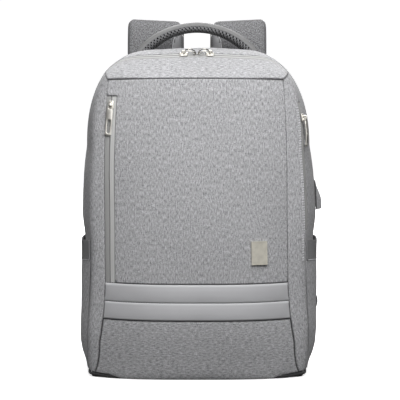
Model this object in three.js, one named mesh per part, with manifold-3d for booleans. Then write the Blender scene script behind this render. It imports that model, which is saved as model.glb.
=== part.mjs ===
// A zipped laptop backpack with a flat, structured body: a soft box of sewn panels that stands on its base.
// Millimetres, +Z up. The front faces -Y, and the origin is the middle of the base's underside.
//
// The body's surface has two parts. The face is the front, between its left and right seams. The gusset is
// the band that runs up one side, over the top and down the other, from the front seam to the back panel.
// Every panel, zip and pocket is a patch of one of these two, so they all follow the same few sizes.

import * as THREE from 'three';
import { mergeVertices } from 'three/addons/utils/BufferGeometryUtils.js';
import Module from 'manifold-3d';

const wasm = await Module();
wasm.setup();

// The body.
const HEIGHT = 428;
const WIDTH = 312;
const DEPTH = 150;
const BACK_Y = 0.467 * DEPTH;
const RIDGE_Y = 0.047 * DEPTH;
const LEAN = 3;
const WALL = 3;
const SEAM_GAP = 0.4;

// How far a panel's inner face stops short of its seam, as a share of the wall, so that neighbours clear.
const MITRE = 0.55;

// The widest outline, where the main zip runs.
const CORNER_POWER = 2.2;
const CROWN = 3;
const TOP_FLAT = 60;
const BACK_DROP = 12;
const BACK_ROLL = 14;
const BACK_INSET = 3;

// The front seam across the top.
const SEAM_HEIGHT = 387;
const SEAM_CROWN = 2;
const STRIP_CURL = 5;
const BROW_CURL = 9;
const BROW_EDGE = 0.22;
const SEAM_LEAN = 3.5;
const FACE_POWER = 3;

// How much of each bend in the gusset is rounded, to each side of it.
const EDGE_BEND = 9;
const RIDGE_BEND = 24;
const BACK_BEND = 11;

// Places along the outline, from 0 at the floor to 1 at the middle of the top.
const KNEE = 0.15;
const SHOULDER = 0.6;
const BROW_START = 0.69;
const TOP_SEAM = 0.75;
const TOP_START = 0.88;

// Horizontal sections. Heights are shares of HEIGHT, ridge and seam are half widths as shares of WIDTH / 2,
// edge is the share of the way from seam to ridge where the front turns into the side, and depth and bulge
// are the seam's place and the swelling of the face in front of it as shares of DEPTH.
const SECTIONS = [
  { name: 'floor', height: 0, ridge: 0.895, seam: 0.885, edge: 0.75, depth: -0.42, bulge: 0.1 },
  { name: 'knee', height: 0.11, ridge: 0.955, seam: 0.812, edge: 0.76, depth: -0.455, bulge: 0.14 },
  { name: 'band', height: 0.24, ridge: 0.966, seam: 0.765, edge: 0.66, depth: -0.44, bulge: 0.14 },
  { name: 'mouth', height: 0.39, ridge: 0.974, seam: 0.755, edge: 0.59, depth: -0.415, bulge: 0.13 },
  { name: 'waist', height: 0.49, ridge: 1, seam: 0.75, edge: 0.57, depth: -0.395, bulge: 0.12 },
  { name: 'shoulder', height: 0.69, ridge: 0.952, seam: 0.745, edge: 0.6, depth: -0.35, bulge: 0.09 },
  { name: 'brow', height: 0.93, ridge: 0.78, seam: 0.715, edge: 0.74, depth: -0.29, bulge: 0.04 },
];
const [FLOOR_ROW, KNEE_ROW] = SECTIONS;
const SHOULDER_ROW = SECTIONS.find((row) => row.name === 'shoulder');

// Front pieces.
const BAND_BOTTOM = 78;
const BAND_WIDTH = 23.5;
const BAND_PROUD = 1.2;
const TAPE_WIDTH = 13;
const TAPE_THICKNESS = 1.2;
const TAPE_SINK = 0.8;
const TAPE_GAP = 0.6;
const FRONT_ZIP_TOP = 365;
const SIDE_ZIP_TOP = 352;
const SIDE_ZIP_BOTTOM = 190;
const SIDE_ZIP_PLACE = 1.1;
const SIDE_TAPE_WIDTH = 9;
const MAIN_ZIP_HALF = 5;
const MAIN_ZIP_END = 0.4;
const MAIN_ZIP_SHARE = 0.64;
const BADGE = { x: 80, z: 165, width: 21, height: 30.5, thickness: 2, rim: 1.4, rimRise: 0.6, corner: 1 };
const PIPING_RADIUS = 2;
const PIPING_INSET = 0.6;

// Side pockets and the port's hood. Front and back are places across the gusset.
const POCKET = { top: 169, band: 26, wall: 1.6, space: 5.8, front: 1.1, back: 2.88, fade: 0.2 };
const HOOD = { top: 243, length: 37, width: 28, wall: 1.4, space: 6.5, front: 2.1, fade: 0.3 };

// Carrying.
const BACK_PAD = 10;
const BACK_PAD_BEVEL = 3;
const HANDLE = { radius: 95, sweep: 61, y: 52, wide: 24, thick: 14, capShare: 0.42, top: 457, chamfer: 3 };
const STRAP = {
  x: 56,
  width: 76,
  waist: 62,
  end: 28,
  thickness: 12,
  endThickness: 5,
  top: 462,
  loop: 44,
  spread: 40,
  cornerDrop: 10,
};
const WEBBING = { width: 25, thickness: 2, bowHeight: 80, leftBow: 143, rightBow: 156 };
const ADJUSTER = { width: 33, height: 27, thickness: 4, bar: 4, side: 3.5 };
const TAB = { width: 32, height: 34, thickness: 3, inset: 44, z: 14 };

// The strap's middle line: out is a share of its spread, back of its loop and rise of its top.
const STRAP_ROUTE = [
  { out: 0, back: 0, rise: 0.8 },
  { out: 0, back: 0.05, rise: 0.86 },
  { out: 0, back: 0.24, rise: 0.955 },
  { out: 0, back: 0.58, rise: 0.985 },
  { out: 0, back: 0.92, rise: 0.94 },
  { out: 0.02, back: 1, rise: 0.82 },
  { out: 0.1, back: 1, rise: 0.6 },
  { out: 0.5, back: 0.9, rise: 0.42 },
  { out: 1, back: 0.72, rise: 0.28 },
];

// Zip sliders and pulls.
const SLIDER = { length: 11, width: 7.4, thickness: 2.4, lug: 1.2, lugLength: 3.4 };
const BAR_RADIUS = 0.8;
const CLEARANCE = 0.35;
const PULL = { width: 8.4, thickness: 1.8, eye: 2.1, shoulder: 10, slotWidth: 3, slotEnd: 3.5, stand: 0.7 };
const LONG_PULL = { length: 38, slot: 17 };
const SHORT_PULL = { length: 16.6, slot: 7 };
const LEFT_SLIDER_Z = 354;
const RIGHT_SLIDER_Z = 332;
const TOP_SLIDER_X = 17.5;

const COLOURS = {
  fabric: 0xa9a9ad,
  darkFabric: 0x4d4d50,
  pu: 0x9c9ca0,
  tape: 0xaaaaa8,
  metal: 0xc9c6bd,
  mesh: 0x5c5c60,
  plastic: 0x3a3a3d,
};

const materials = {
  fabric: new THREE.MeshStandardMaterial({ color: COLOURS.fabric, roughness: 0.9 }),
  darkFabric: new THREE.MeshStandardMaterial({ color: COLOURS.darkFabric, roughness: 0.9 }),
  pu: new THREE.MeshStandardMaterial({ color: COLOURS.pu, roughness: 0.45 }),
  tape: new THREE.MeshStandardMaterial({ color: COLOURS.tape, roughness: 0.6 }),
  metal: new THREE.MeshStandardMaterial({ color: COLOURS.metal, roughness: 0.25, metalness: 1 }),
  mesh: new THREE.MeshStandardMaterial({ color: COLOURS.mesh, roughness: 0.95 }),
  plastic: new THREE.MeshStandardMaterial({ color: COLOURS.plastic, roughness: 0.5 }),
};

const { lerp, clamp, smoothstep, degToRad } = THREE.MathUtils;
const vec = (x, y, z) => new THREE.Vector3(x, y, z);
const between = (a, b, share) => a.clone().lerp(b, share);
const bag = new THREE.Group();

/** Adds a geometry to a group as a named piece. */
function piece(name, geometry, material, group = bag) {
  const mesh = new THREE.Mesh(geometry, material);
  mesh.name = name;
  group.add(mesh);
  return mesh;
}

/** Values from start to end in equal steps no longer than step. */
function stations(start, end, step) {
  const count = Math.max(1, Math.round(Math.abs(end - start) / step));
  return Array.from({ length: count + 1 }, (_, i) => lerp(start, end, i / count));
}

/** A column of SECTIONS at a height, along a smooth curve through its rows. */
function section(column, z) {
  const rows = SECTIONS;
  const heights = rows.map((row) => row.height * HEIGHT);
  let i = heights.findIndex((height) => z < height) - 1;
  if (i < 0) i = z < 0 ? 0 : rows.length - 2;
  const slope = (k) => {
    const a = Math.max(k - 1, 0);
    const b = Math.min(k + 1, rows.length - 1);
    return (rows[b][column] - rows[a][column]) / (heights[b] - heights[a]);
  };
  const span = heights[i + 1] - heights[i];
  const f = clamp((z - heights[i]) / span, 0, 1);
  const rise = rows[i + 1][column] - rows[i][column];
  const ease = f * f * (3 - 2 * f);
  const start = f * (1 - f) * (1 - f) * span * slope(i);
  const finish = f * f * (f - 1) * span * slope(i + 1);
  return rows[i][column] + rise * ease + start + finish;
}

const HALF = WIDTH / 2;
const KNEE_Z = KNEE_ROW.height * HEIGHT;
const SHOULDER_Z = SHOULDER_ROW.height * HEIGHT;

/** Half width and height of the widest outline at place p. */
function ridge(p) {
  if (p < KNEE) {
    const turn = (p / KNEE) * (Math.PI / 2);
    return [lerp(FLOOR_ROW.ridge, KNEE_ROW.ridge, Math.sin(turn)) * HALF, KNEE_Z * (1 - Math.cos(turn))];
  }
  if (p < SHOULDER) {
    const z = lerp(KNEE_Z, SHOULDER_Z, (p - KNEE) / (SHOULDER - KNEE));
    return [section('ridge', z) * HALF, z];
  }
  const top = HEIGHT - CROWN;
  if (p < TOP_START) {
    const turn = ((p - SHOULDER) / (TOP_START - SHOULDER)) * (Math.PI / 2);
    const out = Math.cos(turn) ** (2 / CORNER_POWER);
    const up = Math.sin(turn) ** (2 / CORNER_POWER);
    return [lerp(TOP_FLAT, SHOULDER_ROW.ridge * HALF, out), lerp(SHOULDER_Z, top, up)];
  }
  const f = (p - TOP_START) / (1 - TOP_START);
  return [TOP_FLAT * (1 - f), top + CROWN * Math.sin(f * (Math.PI / 2))];
}

const [TOP_SEAM_X, TOP_SEAM_Z] = ridge(TOP_SEAM);

/** The front seam at place p: its half width, depth and height, and the bulge of the face there. */
function seam(p) {
  if (p < KNEE) {
    const out = Math.sin((p / KNEE) * (Math.PI / 2));
    const [, z] = ridge(p);
    const mix = (column) => lerp(FLOOR_ROW[column], KNEE_ROW[column], out);
    const bulge = mix('bulge') * DEPTH;
    return { x: mix('seam') * HALF, y: mix('depth') * DEPTH, z, bulge, edge: mix('edge') };
  }
  const z = ridge(Math.min(p, TOP_SEAM))[1] * (SEAM_HEIGHT / TOP_SEAM_Z);
  return {
    x: section('seam', z) * HALF,
    y: section('depth', z) * DEPTH,
    z,
    bulge: section('bulge', z) * DEPTH,
    edge: section('edge', z),
  };
}

/** Place up a side where the front seam is at height z. */
function placeOf(z) {
  let low = 0;
  let high = TOP_SEAM;
  while (high - low > 1e-6) {
    const middle = (low + high) / 2;
    if (seam(middle).z < z) low = middle;
    else high = middle;
  }
  return low;
}

/** A point of the face: across is -1 at the left seam and 1 at the right, and p is how far up it is. */
function face(across, p) {
  const at = seam(p);
  const lift = SEAM_CROWN * smoothstep(p, SHOULDER, TOP_SEAM) * (1 - across * across);
  const lean = SEAM_LEAN * smoothstep(p, KNEE, SHOULDER) * Math.max(-across, 0);
  return vec(at.x * across - lean, at.y - at.bulge * (1 - Math.abs(across) ** FACE_POWER), at.z + lift);
}

/** The five lines that the gusset passes at q, which runs from -1 at the left floor over the top to 1. */
function gussetLines(q) {
  const p = 1 - Math.abs(q);
  const side = q < 0 ? -1 : 1;
  const [x, z] = ridge(p);
  const top = smoothstep(p, SHOULDER, TOP_START);
  const lean = LEAN * Math.sin(Math.PI * Math.min(p / TOP_SEAM, 1));
  const onRidge = vec(side * x + lean, RIDGE_Y, z);
  const onSeam = face(side * (p < TOP_SEAM ? 1 : x / TOP_SEAM_X), Math.min(p, TOP_SEAM));
  const edge = lerp(seam(p).edge, BROW_EDGE, smoothstep(p, BROW_START, TOP_START));
  const onEdge = between(onSeam, onRidge, edge);
  onEdge.y = onSeam.y + lerp(STRIP_CURL, BROW_CURL, top);
  const inset = (distance) => 1 - distance / HALF;
  const backZ = z - BACK_DROP * top;
  const onBack = vec(onRidge.x * inset(BACK_INSET), BACK_Y, backZ);
  const rolled = vec(onRidge.x * inset(BACK_ROLL), BACK_Y + 1, backZ - BACK_ROLL * top);
  return [onSeam, onEdge, onRidge, onBack, rolled];
}

const BENDS = [0, EDGE_BEND, RIDGE_BEND, BACK_BEND, 0];

/** How far the main zip lies from the front edge to the ridge: on it at the sides, before it on top. */
function zipShare(q) {
  return lerp(1, MAIN_ZIP_SHARE, smoothstep(1 - Math.abs(q), SHOULDER, TOP_START));
}

/** A point across the lines of the gusset: leg 0 starts on the seam, 1 on the edge, 2 on the ridge. */
function alongLegs(q, leg) {
  const lines = gussetLines(q);
  const reach = (k, from) => Math.min(BENDS[k] / lines[k].distanceTo(lines[from]), 0.49);
  const k = clamp(Math.round(leg), 1, lines.length - 2);
  const before = reach(k, k - 1);
  const after = reach(k, k + 1);
  if (leg > k - before && leg < k + after) {
    const a = between(lines[k], lines[k - 1], before);
    const b = between(lines[k], lines[k + 1], after);
    const f = (leg - k + before) / (before + after);
    return between(between(a, lines[k], f), between(lines[k], b, f), f);
  }
  const start = clamp(Math.floor(leg), 0, lines.length - 2);
  return between(lines[start], lines[start + 1], leg - start);
}

/** The leg place of turn t, which is 2 on the main zip where that runs in front of the ridge. */
function legOf(q, t) {
  const share = zipShare(q);
  if (t < 1 || t > 3) return t;
  return t < 2 ? 1 + (t - 1) * share : lerp(1 + share, 3, t - 2);
}

/** A point of the gusset: t is 0 on the front seam, 1 on the edge, 2 on the main zip and 4 at the back. */
const gusset = (q, t) => alongLegs(q, legOf(q, t));

/** The gusset beside its line t, as (q, distance back from the line). */
function besideLine(t) {
  const h = 0.01;
  return (q, distance) => {
    const leg = legOf(q, t);
    const pace = alongLegs(q, leg + h).distanceTo(alongLegs(q, leg - h)) / (2 * h);
    return alongLegs(q, leg + distance / pace);
  };
}

/** Outward unit normal of a surface at (u, v): u runs to the right or over the top and v up or back. */
function normalOf(surface, u, v) {
  const h = 1e-3;
  const du = surface(u + h, v).sub(surface(u - h, v));
  const dv = surface(u, v + h).sub(surface(u, v - h));
  return du.cross(dv).normalize();
}

/** The same surface moved out along its normal by a distance, or by a function of (u, v). */
function lifted(surface, lift) {
  const height = typeof lift === 'function' ? lift : () => lift;
  return (u, v) => surface(u, v).addScaledVector(normalOf(surface, u, v), height(u, v));
}

/** Builds a closed mesh from a grid of outer points and the grid of inner points behind it. */
function shell(outer, inner) {
  const rows = outer.length;
  const columns = outer[0].length;
  const points = [...outer.flat(), ...inner.flat()];
  const out = (i, j) => i * columns + j;
  const into = (i, j) => rows * columns + i * columns + j;
  const index = [];
  const quad = (a, b, c, d) => index.push(a, b, c, a, c, d);
  for (let i = 0; i < rows - 1; i++) {
    for (let j = 0; j < columns - 1; j++) {
      quad(out(i, j), out(i + 1, j), out(i + 1, j + 1), out(i, j + 1));
      quad(into(i, j), into(i, j + 1), into(i + 1, j + 1), into(i + 1, j));
    }
    quad(out(i, 0), into(i, 0), into(i + 1, 0), out(i + 1, 0));
    quad(out(i, columns - 1), out(i + 1, columns - 1), into(i + 1, columns - 1), into(i, columns - 1));
  }
  for (let j = 0; j < columns - 1; j++) {
    quad(out(0, j), out(0, j + 1), into(0, j + 1), into(0, j));
    quad(out(rows - 1, j), into(rows - 1, j), into(rows - 1, j + 1), out(rows - 1, j + 1));
  }
  const geometry = new THREE.BufferGeometry();
  geometry.setAttribute('position', new THREE.Float32BufferAttribute(points.flatMap((p) => p.toArray()), 3));
  geometry.setIndex(index);
  return geometry;
}

/** Draws each edge of a grid of points in towards its middle by a distance. */
function trimmed(grid, distance) {
  const last = grid.length - 1;
  const end = grid[0].length - 1;
  const moved = grid.map((row) => row.map((p) => p.clone()));
  const shift = (i, j, towards) => {
    const step = towards.clone().sub(grid[i][j]);
    moved[i][j].addScaledVector(step, Math.min(distance / step.length(), 0.45));
  };
  for (let j = 0; j <= end; j++) {
    shift(0, j, grid[1][j]);
    shift(last, j, grid[last - 1][j]);
  }
  for (let i = 0; i <= last; i++) {
    shift(i, 0, grid[i][1]);
    shift(i, end, grid[i][end - 1]);
  }
  return moved;
}

/** A wall under a surface. Its edges stop half a seam gap short, and slope in where panels meet. */
function panel(surface, us, vs, wall = WALL, gap = SEAM_GAP / 2) {
  const outer = us.map((u) => vs.map((v) => surface(u, v)));
  const under = lifted(surface, -wall);
  const inner = us.map((u) => vs.map((v) => under(u, v)));
  return shell(trimmed(outer, gap), trimmed(inner, gap + wall * MITRE));
}

/** A block between two heights above a surface, for cutting other pieces. */
function slab(surface, us, vs, from, to) {
  const grid = (lift) => us.map((u) => vs.map((v) => lifted(surface, lift)(u, v)));
  return shell(grid(to), grid(from));
}

function toSolid(geometry) {
  const bare = geometry.clone();
  for (const name of Object.keys(bare.attributes)) {
    if (name !== 'position') bare.deleteAttribute(name);
  }
  const merged = mergeVertices(bare, 1e-4);
  const mesh = new wasm.Mesh({
    numProp: 3,
    vertProperties: new Float32Array(merged.attributes.position.array),
    triVerts: new Uint32Array(merged.index.array),
  });
  return new wasm.Manifold(mesh);
}

function toGeometry(solid) {
  const mesh = solid.getMesh();
  const geometry = new THREE.BufferGeometry();
  geometry.setAttribute('position', new THREE.Float32BufferAttribute(mesh.vertProperties, 3));
  geometry.setIndex(new THREE.Uint32BufferAttribute(mesh.triVerts, 1));
  return geometry;
}

const cut = (geometry, tool) => toGeometry(toSolid(geometry).subtract(toSolid(tool)));
const join = (...geometries) => toGeometry(geometries.map(toSolid).reduce((a, b) => a.add(b)));

/** A box with its middle at a point. */
function block(x, y, z, at) {
  return new THREE.BoxGeometry(x, y, z).translate(...at);
}

/** A rod along an axis, with its middle at a point. */
function rod(radius, length, axis, at, sides = 12) {
  const geometry = new THREE.CylinderGeometry(radius, radius, length, sides);
  if (axis === 'x') geometry.rotateZ(Math.PI / 2);
  if (axis === 'z') geometry.rotateX(Math.PI / 2);
  return geometry.translate(...at);
}

/** A rectangle with round corners about a point, for extruding. */
function roundRect(width, height, radius, y = 0, Kind = THREE.Shape) {
  const shape = new Kind();
  const side = width / 2 - radius;
  const end = height / 2 - radius;
  const quarter = Math.PI / 2;
  shape.moveTo(width / 2, y - end);
  shape.absarc(side, y + end, radius, 0, quarter);
  shape.absarc(-side, y + end, radius, quarter, 2 * quarter);
  shape.absarc(-side, y - end, radius, 2 * quarter, 3 * quarter);
  shape.absarc(side, y - end, radius, 3 * quarter, 4 * quarter);
  return shape;
}

/** A flat plate of a shape, with its middle layer at z = 0. */
function plate(shape, thickness, curveSegments = 3) {
  const options = { depth: thickness, bevelEnabled: false, curveSegments };
  return new THREE.ExtrudeGeometry(shape, options).translate(0, 0, -thickness / 2);
}

/** Carries rings of points along a path. A closed path joins up, and an open one has flat ends. */
function sweep(rings, closed = false) {
  const count = rings[0].length;
  const points = rings.flat();
  const index = [];
  const spans = closed ? rings.length : rings.length - 1;
  for (let i = 0; i < spans; i++) {
    const next = (i + 1) % rings.length;
    for (let j = 0; j < count; j++) {
      const k = (j + 1) % count;
      const corners = [i * count + j, i * count + k, next * count + k, next * count + j];
      index.push(corners[0], corners[1], corners[2], corners[0], corners[2], corners[3]);
    }
  }
  const last = (rings.length - 1) * count;
  for (let j = 1; !closed && j < count - 1; j++) {
    index.push(0, j + 1, j);
    index.push(last, last + j, last + j + 1);
  }
  const geometry = new THREE.BufferGeometry();
  geometry.setAttribute('position', new THREE.Float32BufferAttribute(points.flatMap((p) => p.toArray()), 3));
  geometry.setIndex(index);
  return geometry;
}

/** A strip along a path. The outline gives its section at each share of the way, with a along across. */
function ribbon(path, across, outline, shape = (point) => point) {
  const rings = path.map((point, i) => {
    const ahead = path[Math.min(i + 1, path.length - 1)];
    const behind = path[Math.max(i - 1, 0)];
    const along = ahead.clone().sub(behind).normalize();
    const wide = across.clone().addScaledVector(along, -across.dot(along)).normalize();
    const thick = along.clone().cross(wide);
    const share = i / (path.length - 1);
    return outline(share).map(([a, b]) => {
      const corner = point.clone().addScaledVector(wide, a).addScaledVector(thick, b);
      return shape(corner, a, share);
    });
  });
  return sweep(rings);
}

/** The section of a strip: a rectangle with cut corners, its middle raised by a distance. */
function strap(width, thickness, chamfer, raise = 0) {
  const x = width / 2;
  const y = thickness / 2;
  const right = [[x, -y + chamfer], [x, y - chamfer], [x - chamfer, y]];
  const left = [[-x + chamfer, y], [-x, y - chamfer], [-x, -y + chamfer]];
  const bottom = [[-x + chamfer, -y], [x - chamfer, -y]];
  return [...right, ...left, ...bottom].map(([a, b]) => [a, b + raise]);
}

/** A group at a point: its z axis is the outward normal and its y axis follows up. */
function seatOn(point, normal, up) {
  const across = up.clone().cross(normal).normalize();
  const along = normal.clone().cross(across).normalize();
  const group = new THREE.Group();
  group.setRotationFromMatrix(new THREE.Matrix4().makeBasis(across, along, normal));
  group.position.copy(point);
  group.updateMatrixWorld(true);
  bag.add(group);
  return group;
}

/** The face beside its left seam, as (distance in from the seam, p). */
const besideLeftSeam = (distance, p) => face(-1 + distance / seam(p).x, p);

// Stations that neighbouring panels share, so that their edges follow the same corners.
const BAND_MIDDLE = BAND_BOTTOM + BAND_WIDTH;
const BAND_TOP = BAND_MIDDLE + BAND_WIDTH;
const PANEL_START = (KNEE * Math.acos(1 - (2 * PIPING_RADIUS + SEAM_GAP) / KNEE_Z)) / (Math.PI / 2);
const SIDE_PLACES = [
  ...stations(PANEL_START, KNEE, 0.037),
  ...[BAND_BOTTOM, BAND_MIDDLE].map(placeOf),
  ...stations(placeOf(BAND_TOP), SHOULDER, 0.08),
  ...stations(SHOULDER, TOP_SEAM, 0.038).slice(1),
];
const TOP_PLACES = [...stations(TOP_SEAM, TOP_START, 0.033), ...stations(TOP_START, 1, 0.06).slice(1)];
const TOP_QS = [...TOP_PLACES.map((p) => p - 1), ...TOP_PLACES.map((p) => 1 - p).reverse().slice(1)];
const ACROSS = TOP_QS.map((q) => (Math.sign(q) * ridge(1 - Math.abs(q))[0]) / TOP_SEAM_X);
const FRONT_TURNS = [0, 0.5, 0.75, 1, 1.15, 1.6, 1.8, 2];
const BACK_TURNS = [2, 2.2, 2.4, 2.83, 3, 3.25, 3.5, 4];

/** The shared stations between two places up a side, with those two as its ends. */
function places(from, to) {
  const inner = SIDE_PLACES.filter((p) => p > from + 1e-3 && p < to - 1e-3);
  return [from, ...inner, to];
}

/** The same places as values of q on one side, where side is -1 on the left and 1 on the right. */
const onSide = (side, list) => list.map((p) => side * (1 - p)).sort((a, b) => a - b);

/** Front pieces, with the zip's slot cut beside the left seam. */
function addFront() {
  const zipTop = placeOf(FRONT_ZIP_TOP);
  const zipPlaces = places(placeOf(BAND_TOP), zipTop);
  const zipWidths = [0, TAPE_WIDTH];
  const slotPlaces = [zipPlaces[0] - 0.02, ...zipPlaces.slice(1)];
  const slot = slab(besideLeftSeam, [-WALL, TAPE_WIDTH], slotPlaces, -2 * WALL, 2 * WALL);
  const main = panel(face, ACROSS, places(placeOf(BAND_TOP), TOP_SEAM));
  piece('front_panel', cut(main, slot), materials.fabric);
  const sunk = lifted(besideLeftSeam, -TAPE_SINK);
  piece('left_zip_tape', panel(sunk, zipWidths, zipPlaces, TAPE_THICKNESS, TAPE_GAP), materials.tape);
  const proud = lifted(face, BAND_PROUD);
  const bands = { band_lower: [BAND_BOTTOM, BAND_MIDDLE], band_upper: [BAND_MIDDLE, BAND_TOP] };
  for (const [name, [bottom, top]] of Object.entries(bands)) {
    const rows = places(placeOf(bottom), placeOf(top));
    piece(name, panel(proud, ACROSS, rows, WALL + BAND_PROUD), materials.pu);
  }
  const low = places(PANEL_START, placeOf(BAND_BOTTOM));
  piece('lower_front_panel', panel(face, ACROSS, low), materials.fabric);
}

/** The gusset's walls, with slots for the main zip round the ridge and the side zip on the right. */
function addGusset() {
  const ridgeStrip = besideLine(2);
  const zipSide = [MAIN_ZIP_END, ...SIDE_PLACES.filter((p) => p > MAIN_ZIP_END + 0.02)];
  const zipHalf = [...zipSide, ...TOP_PLACES.slice(1)];
  const zipQs = [...zipHalf.map((p) => p - 1), ...zipHalf.map((p) => 1 - p).reverse().slice(1)];
  const across = [-MAIN_ZIP_HALF, 0, MAIN_ZIP_HALF];
  const mainSlot = slab(ridgeStrip, zipQs, across, -2 * WALL, 2 * WALL);
  const mainTape = panel(lifted(ridgeStrip, -TAPE_SINK), zipQs, across, TAPE_THICKNESS, TAPE_GAP);
  piece('main_zip_tape', mainTape, materials.tape);

  const sideStrip = besideLine(SIDE_ZIP_PLACE);
  const sideQs = onSide(1, places(placeOf(SIDE_ZIP_BOTTOM), placeOf(SIDE_ZIP_TOP)));
  const sideWidths = [-SIDE_TAPE_WIDTH / 2, SIDE_TAPE_WIDTH / 2];
  const sideSlot = slab(sideStrip, sideQs, sideWidths, -2 * WALL, 2 * WALL);
  const sideTape = panel(lifted(sideStrip, -TAPE_SINK), sideQs, sideWidths, TAPE_THICKNESS, TAPE_GAP);
  piece('right_zip_tape', sideTape, materials.tape);

  const left = panel(gusset, onSide(-1, SIDE_PLACES), FRONT_TURNS);
  const right = panel(gusset, onSide(1, SIDE_PLACES), FRONT_TURNS);
  const wholeQs = [...onSide(-1, SIDE_PLACES), ...TOP_QS.slice(1, -1), ...onSide(1, SIDE_PLACES)];
  piece('side_panel_left', cut(left, mainSlot), materials.fabric);
  piece('side_panel_right', cut(cut(right, mainSlot), sideSlot), materials.fabric);
  piece('top_panel', cut(panel(gusset, TOP_QS, FRONT_TURNS), mainSlot), materials.fabric);
  piece('back_gusset', cut(panel(gusset, wholeQs, BACK_TURNS), mainSlot), materials.fabric);
}

/** The loop of the body's lower edge as plan points, drawn in by a distance. */
function footprint(inset) {
  const q = 1 - PANEL_START;
  const front = ACROSS.map((across) => face(across, PANEL_START));
  const turns = [...FRONT_TURNS.slice(1), ...BACK_TURNS.slice(1)];
  const right = turns.map((t) => gusset(q, t));
  const left = turns.map((t) => gusset(-q, t)).reverse();
  const loop = [...front, ...right, ...left].map((point) => new THREE.Vector2(point.x, point.y));
  return loop.map((point, i) => {
    const ahead = loop[(i + 1) % loop.length];
    const behind = loop[(i + loop.length - 1) % loop.length];
    const along = ahead.clone().sub(behind).normalize();
    return new THREE.Vector2(point.x - along.y * inset, point.y + along.x * inset);
  });
}

/** The stiff base and the piping round it. */
function addBase() {
  const outline = new THREE.Shape(footprint(PIPING_INSET + PIPING_RADIUS + SEAM_GAP));
  piece('base_panel', plate(outline, WALL).translate(0, 0, WALL / 2), materials.darkFabric);
  const loop = footprint(PIPING_INSET);
  const rings = loop.map((point, i) => {
    const ahead = loop[(i + 1) % loop.length];
    const behind = loop[(i + loop.length - 1) % loop.length];
    const along = ahead.clone().sub(behind).normalize();
    return stations(0, 7 / 8, 1 / 8).map((share) => {
      const turn = share * 2 * Math.PI;
      const inward = Math.cos(turn) * PIPING_RADIUS;
      const up = PIPING_RADIUS + SEAM_GAP / 2 + Math.sin(turn) * PIPING_RADIUS;
      return vec(point.x - along.y * inward, point.y + along.x * inward, up);
    });
  });
  piece('base_piping', sweep(rings, true), materials.darkFabric);
}

const BACK_FACE = BACK_Y + 1 + BACK_PAD;

/** The padded back panel, which fills the frame that the gusset makes at the back. */
function addBackPanel() {
  const qs = [...onSide(-1, SIDE_PLACES), ...TOP_QS.slice(1, -1), ...onSide(1, SIDE_PLACES)];
  const edge = qs.map((q) => gusset(q, 4));
  const outline = edge.map((point, i) => {
    const ahead = edge[Math.min(i + 1, edge.length - 1)];
    const behind = edge[Math.max(i - 1, 0)];
    const along = ahead.clone().sub(behind).normalize();
    return new THREE.Vector2(point.x + along.z * SEAM_GAP, point.z - along.x * SEAM_GAP);
  });
  const pad = new THREE.ExtrudeGeometry(new THREE.Shape(outline), {
    depth: BACK_PAD + WALL - 2 * BACK_PAD_BEVEL,
    bevelThickness: BACK_PAD_BEVEL,
    bevelSize: BACK_PAD_BEVEL,
    bevelOffset: -BACK_PAD_BEVEL,
    bevelSegments: 1,
  });
  pad.rotateX(Math.PI / 2).translate(0, BACK_FACE - BACK_PAD_BEVEL, 0);
  piece('back_panel', pad, materials.mesh);
}

/** A side pocket: a wall that stands off the side, open at the top, with an elastic band at its mouth. */
function addPocket(side, name) {
  const turns = stations(POCKET.front, POCKET.back, 0.18);
  const start = PANEL_START + 0.01;
  const stand = (q, t) => {
    const f = (t - POCKET.front) / (POCKET.back - POCKET.front);
    const middle = smoothstep(Math.min(f, 1 - f), 0, POCKET.fade);
    const low = smoothstep(1 - Math.abs(q), start, KNEE);
    return SEAM_GAP + POCKET.wall + POCKET.space * middle * low;
  };
  const wall = lifted(gusset, stand);
  const bandStart = placeOf(POCKET.top - POCKET.band);
  const body = onSide(side, places(start, bandStart));
  const band = onSide(side, places(bandStart, placeOf(POCKET.top)));
  piece(`pocket_${name}`, panel(wall, body, turns, POCKET.wall), materials.fabric);
  piece(`pocket_band_${name}`, panel(wall, band, turns, POCKET.wall), materials.darkFabric);
}

/** The hood over the cable port on the right: seated along its top and sides and open below. */
function addHood() {
  const top = placeOf(HOOD.top);
  const low = placeOf(HOOD.top - HOOD.length);
  const turn = (distance) => HOOD.front + distance / gusset(1 - top, 2).distanceTo(gusset(1 - top, 3));
  const [front, back] = [turn(0), turn(HOOD.width)];
  const stand = (q, t) => {
    const f = (t - front) / (back - front);
    const middle = smoothstep(Math.min(f, 1 - f), 0, HOOD.fade);
    const down = 1 - smoothstep(1 - Math.abs(q), lerp(low, top, 0.3), top);
    return SEAM_GAP + HOOD.wall + HOOD.space * middle * down;
  };
  const qs = onSide(1, stations(low, top, (top - low) / 4));
  const hood = panel(lifted(gusset, stand), qs, stations(front, back, (back - front) / 6), HOOD.wall);
  piece('port_hood', hood, materials.fabric);
}

/** The plain metal badge, a plate with a raised rim. */
function addBadge() {
  const p = placeOf(BADGE.z);
  const across = BADGE.x / seam(p).x;
  const seat = seatOn(face(across, p), normalOf(face, across, p), vec(0, 0, 1));
  const back = plate(roundRect(BADGE.width, BADGE.height, BADGE.corner), BADGE.thickness);
  back.translate(0, 0, SEAM_GAP + BADGE.thickness / 2);
  const rim = roundRect(BADGE.width, BADGE.height, BADGE.corner);
  const inner = [BADGE.width, BADGE.height].map((size) => size - 2 * BADGE.rim);
  rim.holes.push(roundRect(...inner, BADGE.corner / 2, 0, THREE.Path));
  const raised = plate(rim, 2 * BADGE.rimRise).translate(0, 0, SEAM_GAP + BADGE.thickness);
  piece('badge', join(back, raised), materials.metal, seat);
}

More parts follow.
